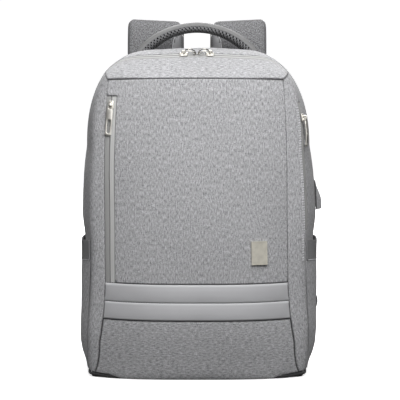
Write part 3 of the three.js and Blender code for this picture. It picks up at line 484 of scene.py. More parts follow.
def stitches(name, lines, material, pitch=3.4, long=2.3, thick=0.55):
    """Threads along lines: each line is (points, outward normals), and each stitch is a low oval bead."""
    sides, rings = 6, ((-1, 0.35), (-0.5, 0.9), (0.5, 0.9), (1, 0.35))
    verts, faces = [], []
    for path, normals in lines:
        run = travel(path)
        for k in range(int(run[-1] / pitch)):
            middle = (k + 0.5) * pitch
            out = unit(at_marks(middle, run, normals))
            ahead = unit(at_marks(middle + long / 2, run, path) - at_marks(middle - long / 2, run, path))
            side = np.cross(ahead, out)
            base = len(verts)
            for share, size in rings:
                centre = at_marks(middle, run, path) + ahead * share * long / 2
                for turn in np.arange(sides) * math.pi / 3:
                    verts.append(centre + size * thick / 2 * (side * math.cos(turn) + out * math.sin(turn)))
            for ring in range(len(rings) - 1):
                for m in range(sides):
                    a, b = base + ring * sides + m, base + ring * sides + (m + 1) % sides
                    faces.append([a, b, b + sides, a + sides])
            faces.append([base + m for m in reversed(range(sides))])
            faces.append([base + 3 * sides + m for m in range(sides)])
    return make(name, verts, faces, material, crease=80)


def sweep(path, wide, thick, a, b):
    """Rings of a section that is a across and b through a path."""
    return path[:, None, :] + wide[:, None, :] * a[..., None] + thick[:, None, :] * b[..., None]


def on_surface(surface, us, vs, lift=0.15):
    """A line of (points, normals) on a surface, for stitches."""
    us, vs = pair(us, vs)
    normals = normal_of(surface, us, vs)
    return surface(us, vs) + normals * lift, normals


# ---------- materials ----------

class Look:
    """A material and short ways to add nodes to it. A number or a socket can be given for any input."""

    def __init__(self, name, base=None, **values):
        self.material = bpy.data.materials.new(name)
        self.material.use_nodes = True
        self.tree = self.material.node_tree
        self.shader = self.tree.nodes["Principled BSDF"]
        for key, value in values.items():
            self.shader.inputs[key.replace("_", " ")].default_value = value
        if base is not None:
            self.shader.inputs["Base Color"].default_value = (*base, 1)

    def add(self, kind, inputs=None, out=0, **settings):
        node = self.tree.nodes.new("ShaderNode" + kind)
        for key, value in settings.items():
            setattr(node, key, value)
        for key, value in (inputs or {}).items():
            if isinstance(value, bpy.types.NodeSocket):
                self.tree.links.new(value, node.inputs[key])
            else:
                node.inputs[key].default_value = value
        return node.outputs[out]

    def set(self, key, socket):
        self.tree.links.new(socket, self.shader.inputs[key])

    def math(self, operation, a, b=0.0):
        return self.add("Math", {0: a, 1: b}, operation=operation)

    def total(self, *terms):
        """The sum of (share, socket) terms."""
        parts = [self.math("MULTIPLY", socket, share) for share, socket in terms]
        while len(parts) > 1:
            parts[:2] = [self.math("ADD", parts[0], parts[1])]
        return parts[0]

    def coords(self, scale, source="cloth"):
        """The cloth's own place in millimetres times a scale, or the object's for a rigid piece."""
        if source == "cloth":
            place = self.add("Attribute", attribute_name="cloth", out="Vector")
        else:
            place = self.add("TexCoord", out="Object")
            scale = tuple(1000 * s for s in scale)
        return self.add("VectorMath", {0: place, 1: scale}, operation="MULTIPLY")

    def waves(self, operation, pitches, source="cloth", axes="XY"):
        """The sine or cosine of the place across and along the cloth, with the given pitches in millimetres."""
        place = self.coords((*(2 * math.pi / pitch for pitch in pitches), 1.0), source)
        return [self.math(operation, self.add("SeparateXYZ", {0: place}, out=axis)) for axis in axes]

    def noise(self, scale, detail=2.0, rough=0.6, source="cloth"):
        inputs = {"Vector": self.coords(scale, source), "Scale": 1.0, "Detail": detail, "Roughness": rough}
        return self.add("TexNoise", inputs, noise_dimensions="3D")

    def ramp(self, value, *stops):
        socket = self.add("ValToRGB", {0: value})
        elements = socket.node.color_ramp.elements
        while len(elements) < len(stops):
            elements.new(0.5)
        for element, (place, colour) in zip(elements, stops):
            element.position, element.color = place, (*colour, 1)
        return socket

    def mix(self, factor, a, b, blend="MIX"):
        a, b = (v if isinstance(v, bpy.types.NodeSocket) else (*v, 1) for v in (a, b))
        return self.add("Mix", {0: factor, 6: a, 7: b}, out=2, data_type="RGBA", blend_type=blend)

    def roughen(self, socket, low, high):
        self.set("Roughness", self.add("MapRange", {0: socket, 3: low, 4: high}))

    def bump(self, height, distance, strength=1.0):
        self.set("Normal", self.add("Bump", {"Height": height, "Distance": distance, "Strength": strength}))


def grey(value, tint=(1.0, 1.0, 1.03)):
    """A linear colour from a display grey of 0 to 255."""
    level = value / 255
    linear = level / 12.92 if level <= 0.04045 else ((level + 0.055) / 1.055) ** 2.4
    return tuple(linear * t for t in tint)


def times(colour, share):
    return tuple(c * share for c in colour)


def valley_shade(look, colour):
    """The colour with painted shade in the seams' valleys and a little painted light along the edges beside them."""
    stops = [(0.04, 0.13), (0.2, 0.34), (0.37, 0.5), (0.46, 0.55), (0.62, 0.5)]
    rim = look.add("Attribute", attribute_name="rim", out="Fac")
    valley = look.ramp(look.math("DIVIDE", rim, 6.0), *((place, (level,) * 3) for place, level in stops))
    return look.mix(1.0, colour, look.math("MULTIPLY", valley, 2.0), "MULTIPLY")


def heather(name, dark, light, warp_size=(0.66, 0.2), spread=0.175, source="cloth", clouds=0.05):
    """A melange cloth: yarns of two greys, with light and dark streaks along the warp and painted shade in the seam
    valleys.
    """
    look = Look(name, Roughness=0.92, Sheen_Weight=0.15, Sheen_Roughness=0.5, Specular_IOR_Level=0.25)
    wide, tall = warp_size
    warp = look.noise((wide, tall, wide), 2.0, 0.6, source)
    weft = look.noise((tall * 1.4, wide * 1.1, wide), 1.0, 0.5, source)
    speck = look.noise((1.1, 0.75, 0.9), 1.0, 0.5, source)
    yarn = look.total((0.58, warp), (0.12, weft), (0.3, speck))
    middle = tuple((a + b) / 2 for a, b in zip(dark, light))
    colour = look.ramp(yarn, (0.5 - spread, dark), (0.5, middle), (0.5 + spread, light))
    cloud = look.noise((0.014, 0.01, 0.012), 2.0, 0.5, source)
    shade = look.ramp(cloud, (0.3, (1 - clouds,) * 3), (0.7, (1.0,) * 3))
    colour = look.mix(1.0, colour, shade, "MULTIPLY")
    look.set("Base Color", valley_shade(look, colour) if source == "cloth" else colour)
    x, y = look.waves("SINE", (0.9, 0.9), source)
    weave = look.math("MULTIPLY_ADD", look.math("MULTIPLY", x, y), 0.5)
    look.bump(look.total((0.6, weave), (0.9, warp)), 0.0003, 0.6)
    return look.material


def coated(name, colour, rough=0.42, grain=0.9, bumps=0.00006, tint=0.03):
    """A smooth coated sheet with a very fine grain and painted shade in its seams' valleys."""
    look = Look(name, Roughness=rough, Specular_IOR_Level=0.45)
    cloud = look.noise((0.03, 0.02, 0.02), rough=0.5)
    colour = look.ramp(cloud, (0.3, times(colour, 1 - tint)), (0.7, times(colour, 1 + tint)))
    look.set("Base Color", valley_shade(look, colour))
    fine = look.noise((grain, grain, grain), 3.0)
    look.roughen(fine, rough - 0.06, rough + 0.1)
    look.bump(fine, bumps)
    return look.material


def ribbed(name, dark, light, pitch):
    """Woven tape or elastic with ribs across it."""
    look = Look(name, Roughness=0.85, Sheen_Weight=0.15, Specular_IOR_Level=0.3)
    rib = look.math("MULTIPLY_ADD", *look.waves("SINE", (pitch, pitch), axes="Y"), 0.5)
    yarn = look.noise((1.1, 0.8, 1.0))
    look.set("Base Color", look.ramp(look.total((0.25, rib), (1, yarn)), (0.3, dark), (0.75, light)))
    look.bump(look.total((1, rib), (0.5, yarn)), 0.0004, 0.8)
    return look.material


def air_mesh(name, dark, light, hole, pitch=(3.4, 3.4), opening=0.35):
    """Spacer mesh: a knitted face with rows of small holes set between each other, the holes painted dark as the
    shade inside them, and painted shade in the seams' valleys.
    """
    look = Look(name, Roughness=0.95, Sheen_Weight=0.2, Specular_IOR_Level=0.2)
    x, y = look.waves("COSINE", pitch)
    yarn = look.noise((1.3, 1.3, 1.3))
    thread = look.ramp(yarn, (0.3, dark), (0.7, light))
    holes = look.ramp(look.math("MULTIPLY", x, y), (opening, (0, 0, 0)), (opening + 0.25, (1, 1, 1)))
    look.set("Base Color", valley_shade(look, look.mix(holes, thread, hole)))
    look.bump(look.total((0.3, yarn), (-1, holes)), 0.0006, 0.8)
    return look.material


def nickel(name, colour, rough):
    """Pale plated metal with fine brushing and slightly darker, rougher patches of handling."""
    look = Look(name, Metallic=1.0, Roughness=rough)
    brush = look.noise((0.35, 0.35, 6.0), 3.0, source="object")
    wear = look.noise((0.12, 0.12, 0.12), 3.0, source="object")
    look.set("Base Color", look.ramp(wear, (0.35, times(colour, 0.86)), (0.6, colour)))
    look.roughen(wear, rough - 0.06, rough + 0.16)
    look.bump(brush, 0.00004, 0.5)
    return look.material


def moulded(name, colour):
    """Moulded plastic with a fine spark texture."""
    look = Look(name, Roughness=0.5)
    fine = look.noise((2.2, 2.2, 2.2), source="object")
    look.set("Base Color", look.ramp(fine, (0.3, times(colour, 0.85)), (0.7, colour)))
    look.roughen(fine, 0.42, 0.6)
    look.bump(fine, 0.00008, 0.6)
    return look.material


WARM, PLAIN = (1.0, 1.0, 0.99), (1.0, 1.0, 1.0)
SHELL = heather("shell_cloth", grey(118), grey(220))
BASE_CLOTH = heather("base_cloth", grey(52), grey(86), source="object")
STRAP_CLOTH = heather("strap_cloth", grey(58), grey(168), warp_size=(0.75, 0.5), spread=0.15)
STRIP = coated("strip_coat", grey(190))
TAPE = coated("tape_coat", grey(190, WARM), rough=0.55, grain=1.4, bumps=0.0001)
TOP_TAPE = coated("top_tape_coat", grey(176, WARM), rough=0.6, grain=1.4, bumps=0.0001)
COVER = coated("cover_coat", grey(128, PLAIN), rough=0.7, grain=1.2, bumps=0.00012, tint=0.08)
ELASTIC = ribbed("elastic_cloth", grey(98), grey(142), 1.8)
WEB = ribbed("webbing_cloth", grey(70), grey(118), 1.7)
BINDING = ribbed("binding_cloth", grey(78), grey(120), 0.9)
LINING = coated("strap_lining", grey(168), rough=0.6, grain=1.2, bumps=0.0001)
PIPE = ribbed("piping_cloth", grey(26), grey(56), 1.1)
MESH = air_mesh("back_mesh", grey(104), grey(150), grey(46))
GRIP = air_mesh("grip_mesh", grey(100), grey(148), grey(6), pitch=GRIP_PITCH, opening=0.12)
THREAD = Look("thread", grey(236), Roughness=0.7, Sheen_Weight=0.2).material
DARK_THREAD = Look("dark_thread", grey(66), Roughness=0.7, Sheen_Weight=0.2).material
METAL = nickel("pale_nickel", (0.92, 0.895, 0.83), 0.3)
# Near-black nickel that paints shade: in the sliders' windows and on their lower halves, and on the walls of the
# pulls' eyes and slots.
PAINTED_SHADE_METAL = nickel("shaded_nickel", (0.1, 0.095, 0.085), 0.5)
BADGE_METAL = nickel("badge_nickel", (0.64, 0.615, 0.54), 0.36)
PLASTIC = moulded("buckle_plastic", grey(56))

# ---------- camera and light ----------

PICTURE, SENSOR, MM_PER_PIXEL = 400, 36, 1.302
TARGET, ELEVATION, DISTANCE = Vector((0.004, -0.04, 0.2295)), math.radians(7), 2.6
scene = bpy.context.scene
scene.view_settings.view_transform = "Standard"


def placed(name, data, place, aim):
    """An object at a place that looks at another."""
    obj = bpy.data.objects.new(name, data)
    scene.collection.objects.link(obj)
    obj.location = place
    obj.rotation_mode = "QUATERNION"
    obj.rotation_quaternion = (Vector(aim) - Vector(place)).to_track_quat("-Z", "Y")
    return obj


def lamp(name, place, aim, size, power):
    data = bpy.data.lights.new(name, "AREA")
    data.shape, data.size, data.energy = "DISK", size, power
    obj = placed(name, data, place, aim)
    obj.visible_camera = False
    return obj


backward = Vector((0, -math.cos(ELEVATION), math.sin(ELEVATION)))
scene.camera = placed("camera", bpy.data.cameras.new("camera"), TARGET + backward * DISTANCE, TARGET)
scene.camera.data.sensor_width = SENSOR
scene.camera.data.lens = DISTANCE * 1000 / MM_PER_PIXEL / PICTURE * SENSOR

lamp("key", (0.08, -0.58, 0.89), (0, 0, 0.24), 0.75, 7.3)
lamp("overhead", (0.0, 0.25, 1.5), (0, 0, 0.3), 1.2, 0.9)
lamp("card", (0.1, -2.9, 0.6), (0, 0, 0.2), 2.2, 27).visible_diffuse = False
lamp("back_fill", (0.0, 1.7, 1.2), (0, 0, 0.2), 1.4, 42)

# White light from all round that is dim from below and brighter from above.
world = bpy.data.worlds.new("studio")
scene.world = world
world.use_nodes = True
sky = world.node_tree
background = sky.nodes["Background"]
background.inputs["Color"].default_value = (1, 1, 1, 1)
direction, split, level = (sky.nodes.new("ShaderNode" + kind) for kind in ("TexCoord", "SeparateXYZ", "MapRange"))
for index, value in ((1, -0.3), (2, 0.7), (3, 0.08), (4, 0.42)):
    level.inputs[index].default_value = value
sky.links.new(direction.outputs["Generated"], split.inputs[0])
sky.links.new(split.outputs["Z"], level.inputs[0])
sky.links.new(level.outputs[0], background.inputs["Strength"])

FLOOR_HALF, FLOOR_Z = 40, -0.0004
floor_mesh = bpy.data.meshes.new("floor")
corners = [(x * FLOOR_HALF, y * FLOOR_HALF, FLOOR_Z) for x, y in ((-1, -1), (1, -1), (1, 1), (-1, 1))]
floor_mesh.from_pydata(corners, [], [(0, 1, 2, 3)])
floor = bpy.data.objects.new("floor", floor_mesh)
scene.collection.objects.link(floor)
floor.visible_diffuse = floor.visible_glossy = False
floor_look = Look("floor_paint", (0.85, 0.85, 0.85), Roughness=0.9, Specular_IOR_Level=0.0, Emission_Strength=0.72)
floor_look.shader.inputs["Emission Color"].default_value = (1, 1, 1, 1)
floor_mesh.materials.append(floor_look.material)

# ---------- the body ----------


def soft(amount, size, seed, fade=14.0):
    """Relief of slack cloth: low swells that die out towards the seams."""
    def relief(grid, distance, u, v):
        x, y, z = np.moveaxis(grid, -1, 0)
        swell = noise2(x / size + y / size, z / (size * 1.6), seed)
        swell = swell + 0.5 * noise2(x / size * 2.3, (z + y) / size * 2, seed + 1)
        return amount * swell * ease(distance, 0, fade)
    return relief


def p_rows(start, end):
    """Places from start to end up a side, about 3 mm apart."""
    return spaced(start, end, whole_length(gusset(1 - np.linspace(start, end, 60), 1.5)))


def corner_pull(x):
    return lerp(0.45, 1, ease(np.abs(x), *CORNER_ZONE))


def low_pull(z, above_bands):
    """How deep the lower seams are pulled in: wholly at the floor, and less above the bands."""
    return 1 - 0.45 * ease(z, *LOW_ZONE) - above_bands * ease(z, *BAND_ZONE)


def seam_depth(grid, u, v):
    """How deep the front's seams are pulled in: deep at the bands and below, and at the top's corners."""
    x, _, z = np.moveaxis(grid, -1, 0)
    return np.maximum(low_pull(z, 0.43), ease(z, *TOP_ZONE) * corner_pull(x))


def corner_rise(grid):
    """How far the cloth's lower edge is drawn up round the base's front corners."""
    x, y, z = np.moveaxis(grid, -1, 0)
    return CORNER_RISE * ease(np.abs(x), *RISE_X) * (1 - ease(z, *RISE_Z)) * (1 - ease(y, *RISE_Y))


def rise(grid, u, v):
    move = points(0, 0, corner_rise(grid))
    return move, move


def add_lower_front():
    def draped(grid):
        x, _, z = np.moveaxis(grid, -1, 0)
        return (1 - ease(np.abs(x), *DRAPE_X)) * (1 - ease(z, *DRAPE_Z))

    def drape(grid, u, v):
        f, up = draped(grid), corner_rise(grid)
        return [points(0, -out * f, up - DRAPE_DOWN * f) for out in DRAPE_OUT]

    shell("lower_front_cloth", face, spaced(-1, 1, 245), p_rows(PANEL_START, place_of(BAND_BOTTOM)),
          "lower_front_panel", relief=soft(0.5, 30, 21), along="u",
          strength=lambda grid, u, v: 1 - 0.8 * draped(grid), shift=drape)


def add_band(name, bottom, upper):
    """A smooth strip across the front. The upper one's lower edge is flat, and both have a lit upper edge, rounded
    and with a painted highlight.
    """
    top = bottom + BAND_WIDTH

    def puffed(grid, distance, u, v):
        return 0.7 * ease(distance, 0, 9) + soft(0.12, 40, 31)(grid, distance, u, v)

    def depth(grid, u, v):
        return 1 - 0.7 * upper * (1 - ease(grid[..., 2] - bottom, 2.5, 4.5))

    def lit_edge(grid, u, v):
        # Painted highlight: along the top edge the shade is held a little lighter than the plain cloth.
        return np.where(top - grid[..., 2] < 2.9, 2.8, 0.0)

    patch(name + "_coat", face, spaced(-1, 1, 236), spaced(place_of(bottom), place_of(top), BAND_WIDTH, 2.5), STRIP,
          name, "smooth_strip", wall=WALL + BAND_PROUD, lift=BAND_PROUD, relief=puffed, radius=2.6, drop=2.4,
          along="u", strength=depth, bright=lit_edge)


def add_front():
    band_top, zip_top = place_of(BAND_TOP), place_of(FRONT_ZIP_TOP)
    us = joined(spaced(0, 1, TAPE_WIDTH), spaced(1, 2, 220))
    vs = joined(p_rows(band_top, zip_top), p_rows(zip_top, TOP_SEAM))

    def strength(grid, u, v):
        bottom = 1 - ease(grid[..., 2], BAND_TOP + 2.5, BAND_TOP + 5)
        over_zip = (u <= 1) & (np.abs(grid[..., 2] - FRONT_ZIP_TOP) < 4)
        return np.maximum(np.maximum(seam_depth(grid, u, v), bottom), over_zip)

    def tucked(grid, distance, u, v):
        return soft(0.35, 34, 11)(grid, distance, u, v) - 0.9 * ease(grid[..., 2], 368, 384)

    shell("front_cloth", front, us, vs, "front_panel", strength=strength,
          keep=lambda u, v: (u > 1) | (v > zip_top), relief=tucked)
    add_lower_front()
    add_band("band_lower", BAND_BOTTOM, False)
    add_band("band_upper", BAND_MIDDLE, True)
    for z, lift in ((BAND_MIDDLE, -0.3), (BAND_TOP + 0.3, -0.6)):
        line = on_surface(face, np.linspace(-0.985, 0.985, 160), place_of(z), lift)
        stitches(f"band_stitch_{round(z)}", [line], DARK_THREAD)


def zip_tape(name, surface, lines, widths, flip=False, material=TAPE, lift=-TAPE_SINK, near_shade=FAR):
    """A zip's two tapes over lines of the surface, set below it, with a groove under their meeting edges that is
    painted dark as shade. near_shade is the painted shade over the near tape.
    """
    low, high = widths
    half, middle, inset = (high - low) / 2, (low + high) / 2, 0.15
    steps = [half * 0.6, 1.2, 0.7, 0.4, 0.2]
    across = [low + inset, low + inset + 0.5, *(middle - d for d in steps), middle,
              *(middle + d for d in reversed(steps)), high - inset - 0.5, high - inset]

    def relief(grid, distance, u, v):
        off = np.abs((u if flip else v) - middle)
        ripple = 0.05 * np.sin(np.cumsum(np.ones(distance.shape), 1 if flip else 0) * 2.4)
        return 0.3 * ease(off, half, half * 0.4) - 1.0 * (1 - ease(off, 0.2, 0.7)) + ripple

    # Painted shade: dark along the tapes' meeting line, and over the near tape as near_shade gives.
    def groove(grid, u, v):
        w = u if flip else v
        return np.minimum(2.2 * np.abs(w - middle), np.where(w < middle, near_shade, FAR))

    us, vs = (across, lines) if flip else (lines, across)
    patch(name, surface, us, vs, material, name + "_tape", "zip_tape", wall=1.2, lift=lift, relief=relief,
          radius=0.6, drop=0.3, gap=0, along="v" if flip else "u", strength=0.5, line=groove)


def beside_left_seam(distance, p):
    return face(-1 + distance / seam(p)[0], p)


def open_zip(q):
    """Whether the main zip runs there."""
    return 1 - np.abs(q) > MAIN_ZIP_END


def side_strength(grid, q, s):
    z = grid[..., 2]
    zips = lerp(0.3, 1, 1 - ease(z, 6, 12))
    end = ease(1 - np.abs(q), TOP_SEAM - 0.012, TOP_SEAM - 0.004)
    return np.maximum(np.where(s < 0.5, low_pull(z, 0.4), zips), end)


def add_gusset():
    main, side_zip = (2, -MAIN_ZIP_HALF), SIDE_TAPE_WIDTH / 2
    low_end, high_end = place_of(SIDE_ZIP_BOTTOM), place_of(SIDE_ZIP_TOP)
    marks = sorted([PANEL_START, low_end, MAIN_ZIP_END, high_end, TOP_SEAM])
    places = joined(*[p_rows(a, b) for a, b in zip(marks, marks[1:])])
    left, right = np.sort(places - 1), np.sort(1 - places)
    side = dict(along="u", strength=side_strength, shift=rise)
    shell("side_cloth_left", banded([(0, 0), main, (2, 0)]), left, joined(spaced(0, 1, 85), spaced(1, 2, 5, 1.5)),
          "side_panel_left", keep=lambda q, s: ~((s > 1) & open_zip(q)), relief=soft(0.6, 32, 41), **side)

    def keep_right(q, s):
        p = 1 - np.abs(q)
        in_side_zip = (s > 1) & (s < 2) & (p > low_end) & (p < high_end)
        return ~(in_side_zip | ((s > 3) & open_zip(q)))

    lines = [(0, 0), (SIDE_ZIP_PLACE, -side_zip), (SIDE_ZIP_PLACE, side_zip), main, (2, 0)]
    split = joined(spaced(0, 1, 45), spaced(1, 2, 9, 1.5), spaced(2, 3, 30), spaced(3, 4, 5, 1.5))
    shell("side_cloth_right", banded(lines), right, split, "side_panel_right", keep=keep_right,
          relief=soft(0.6, 32, 43), **side)
    rows = 1 - np.linspace(place_of(150), place_of(350), 220)
    for away, thick in ((3.0, 1.25), (5.4, 0.85)):
        line = on_surface(beside_line(SIDE_ZIP_PLACE), rows, -side_zip - away, 0.2)
        stitches(f"side_stitch_{round(away)}", [line], THREAD, pitch=3.3, long=1.9, thick=thick)

    end = 1 - TOP_SEAM
    top_qs = np.array(spaced(-end, end, whole_length(gusset(np.linspace(-end, end, 200), 1.5))))

    def crease(grid, distance, q, s):
        fold = np.exp(-((s - 0.86) / 0.035) ** 2) * ease(0.12 - np.abs(q), 0, 0.05)
        overhang = 1.1 * (1 - ease(s, 0.1, 0.5))
        return soft(0.4, 36, 51)(grid, distance, q, s) + 0.5 * fold + overhang

    def top_strength(grid, q, s):
        return np.where(s < 0.5, corner_pull(grid[..., 0]), lerp(0.12, 1, ease(np.abs(q), 0.235, 0.245)))

    shell("top_cloth", banded([(0, 0), main]), top_qs, spaced(0, 1, 48, 2.5), "top_panel", relief=crease,
          along="u", strength=top_strength)
    shell("back_gusset_cloth", banded([(2, 0), (2, MAIN_ZIP_HALF), (4, 0)]),
          joined(list(left), list(top_qs), list(right)), joined(spaced(0, 1, 5, 1.5), spaced(1, 2, 72)),
          "back_gusset", keep=lambda q, s: ~((s < 1) & open_zip(q)), relief=soft(0.5, 34, 61), along="u",
          strength=0.4)

    up_side = p_rows(MAIN_ZIP_END, TOP_SEAM)
    zip_qs = joined([v - 1 for v in up_side], list(top_qs), [1 - v for v in reversed(up_side)])
    zip_tape("main_zip", beside_line(2), zip_qs, (-MAIN_ZIP_HALF, MAIN_ZIP_HALF), lift=-0.7, material=TOP_TAPE)
    zip_tape("right_zip", beside_line(SIDE_ZIP_PLACE), sorted(1 - v for v in p_rows(low_end, high_end)),
             (-side_zip, side_zip), near_shade=1.6)
    zip_tape("left_zip", beside_left_seam, p_rows(place_of(BAND_TOP), place_of(FRONT_ZIP_TOP)), (0, TAPE_WIDTH),
             flip=True, near_shade=1.45)


def footprint(inset):
    """The line round the bag's foot, moved inwards, and its directions."""
    turns = np.concatenate([np.linspace(0, 2, 40)[1:], np.linspace(2, 4, 40)[1:]])
    right, left = (gusset(side * (1 - PANEL_START), turns) for side in (1, -1))
    loop = np.concatenate([face(np.linspace(-1, 1, 60), PANEL_START), right, left[::-1]])[:, :2]
    loop = loop[length(loop - np.roll(loop, 1, 0)) > 0.2]
    closed = np.append(loop, loop[:1], 0)
    run = travel(closed)
    loop = at_marks(np.linspace(0, run[-1], 321)[:-1], run, closed)
    along = unit(np.roll(loop, -1, 0) - np.roll(loop, 1, 0))
    return loop + np.stack([-along[:, 1], along[:, 0]], -1) * inset, along


def add_base():
    loop, along = footprint(PIPING_INSET)
    turns = np.arange(12) * math.pi / 6
    inward = np.cos(turns)[None, :] * PIPING_RADIUS
    up = PIPING_RADIUS + SEAM_GAP / 2 + np.sin(turns)[None, :] * PIPING_RADIUS
    rings = points(loop[:, None, 0] - along[:, None, 1] * inward, loop[:, None, 1] + along[:, None, 0] * inward, up)
    rings[..., 2] += corner_rise(points(loop[:, 0], loop[:, 1], RISE_Z[0]))[:, None]
    tube("base_cord", rings, PIPE, "base_piping", closed=True)


def add_back():
    end = 1 - TOP_SEAM
    up = np.linspace(PANEL_START, TOP_SEAM, 80)
    left, right = gusset(up - 1, 4), gusset(1 - up, 4)
    top, bottom = gusset(np.linspace(-end, end, 160), 4), np.stack([left[0], right[0]])

    def at_share(line, share):
        run = travel(line)
        return at_marks(share * run[-1], run, line)

    def pad(u, v):
        """A flat sheet stretched between the four edges."""
        u, v = pair(u, v)
        s = 1 - u
        a, b = s[..., None], v[..., None]
        sides = (1 - a) * at_share(left, v) + a * at_share(right, v)
        edges = sides + (1 - b) * at_share(bottom, s) + b * at_share(top, s)
        place = edges - ((1 - a) * ((1 - b) * left[0] + b * left[-1]) + a * ((1 - b) * right[0] + b * right[-1]))
        place[..., 1] = BACK_FACE
        return place

    def quilting(grid, distance, u, v):
        x, _, z = np.moveaxis(grid, -1, 0)
        spine = ease(np.abs(x), 8, 20) + ease(z, 330, 350)
        rows = [ease(np.abs(z - line - 0.06 * np.abs(x)), 1.0, 9) for line in QUILT_ROWS]
        channel = np.minimum.reduce([np.clip(spine, 0, 1), *rows])
        middle = ease(distance, 12, 24)
        puff = 1.5 * noise2(x / 46, z / 46, 71) * channel
        return middle * (puff - QUILT_DEPTH * (1 - channel)) - 1.2 * (1 - middle)

    piece = patch("back_padding", pad, spaced(0, 1, 290), spaced(0, 1, 400), MESH, "back_panel", "air_mesh",
                  wall=BACK_PAD, relief=quilting, radius=7, drop=5.5, gap=0.4)


def bulging(front_edge, back_edge, fade, wall, space, share):
    """The gusset raised by a wall and, between its front and back edges, by a space times share(p)."""
    def stand(q, t):
        f = (t - front_edge) / (back_edge - front_edge)
        return SEAM_GAP + wall + space * ease(np.minimum(f, 1 - f), 0, fade) * share(1 - np.abs(q))
    return lifted(gusset, stand)


def add_pocket(side, name):
    start, band_start, top = PANEL_START + 0.01, place_of(POCKET_TOP - POCKET_BAND), place_of(POCKET_TOP)

    def share(p):
        return ease(p, start, KNEE) * lerp(1, POCKET_MOUTH, ease(p, place_of(70), top))

    def folds(grid, distance, q, t):
        near_band = ease(1 - np.abs(q), band_start - 0.08, band_start)
        gather = np.sin(t * 34 + 1.5 * noise2(t * 5, q * 8, 83)) * near_band
        flush = -1.3 * (1 - ease(t, POCKET_FRONT, POCKET_FRONT + 0.14))
        return soft(0.7, 26, 81)(grid, distance, q, t) + 0.3 * gather * ease(distance, 0, 5) + flush

    def ribs(grid, distance, q, t):
        return 0.35 * np.sin(t * 60) * ease(distance, 0, 3) + 0.25

    def level(grid, q, t):
        """Raises the mouth's front end, so that the mouth lies level."""
        in_front = 1 - ease(t, POCKET_FRONT, POCKET_FRONT + 0.9)
        up = MOUTH_RISE * in_front * ease(1 - np.abs(q), place_of(60), band_start)
        move = points(0, 0, up + corner_rise(grid))
        return move, move

    def deep_at(place, deep, slack):
        """A strength of deep along the edge at that place and of slack at the others."""
        return lambda grid, q, t: np.where(np.abs(1 - np.abs(q) - place) < 0.006, deep, slack)

    wall = bulging(POCKET_FRONT, POCKET_BACK, POCKET_FADE, POCKET_WALL, POCKET_SPACE, share)
    turns = spaced(POCKET_FRONT, POCKET_BACK, 95, 2.6)
    rows, elastic_rows = (np.sort(side * (1 - np.array(p_rows(*ends))))
                          for ends in ((start, band_start), (band_start, top)))
    # bright keeps painted seam shade off the pocket's cloth, and inside gives the right pocket's cut edge a little
    # painted shade.
    shell(f"pocket_cloth_{name}", wall, rows, turns, f"pocket_{name}", wall=POCKET_WALL, relief=folds, radius=1.2,
          drop=0.9, along="u", strength=deep_at(band_start, 0.8, 0.1), shift=level,
          inside=CLEAR_SHADE if side < 0 else 1.2, bright=lambda *at: CLEAR_SHADE)
    patch(f"pocket_elastic_{name}", wall, elastic_rows, turns, ELASTIC, f"pocket_band_{name}", "dark_cloth",
          wall=POCKET_WALL, relief=ribs, radius=1.0, drop=0.7, strength=deep_at(top, 1.0, 0.4), shift=level)
    edge = np.linspace(POCKET_FRONT + 0.05, POCKET_BACK - 0.05, 90)
    line, normals = on_surface(wall, side * (1 - band_start), edge, 0.35)
    line = line + level(line, side * (1 - band_start), edge)[0]
    stitches(f"pocket_seam_{name}", [(line, normals)], THREAD, pitch=2.4, long=2.2, thick=0.9)


def add_hood():
    top, low = place_of(HOOD_TOP), place_of(HOOD_TOP - HOOD_LENGTH)
    reach = float(length(gusset(1 - top, 2) - gusset(1 - top, 3)))
    start, end = HOOD_FRONT, HOOD_FRONT + HOOD_WIDTH / reach
    surface = bulging(start, end, HOOD_FADE, HOOD_WALL, HOOD_SPACE, lambda p: 1 - ease(p, lerp(low, top, 0.3), top))
    rows = np.sort(1 - np.array(spaced(low, top, HOOD_LENGTH, 2)))
    shell("hood_cloth", surface, rows, spaced(start, end, HOOD_WIDTH, 2), "port_hood", wall=HOOD_WALL, radius=1.0,
          drop=0.8, along="u")


# ---------- carrying ----------

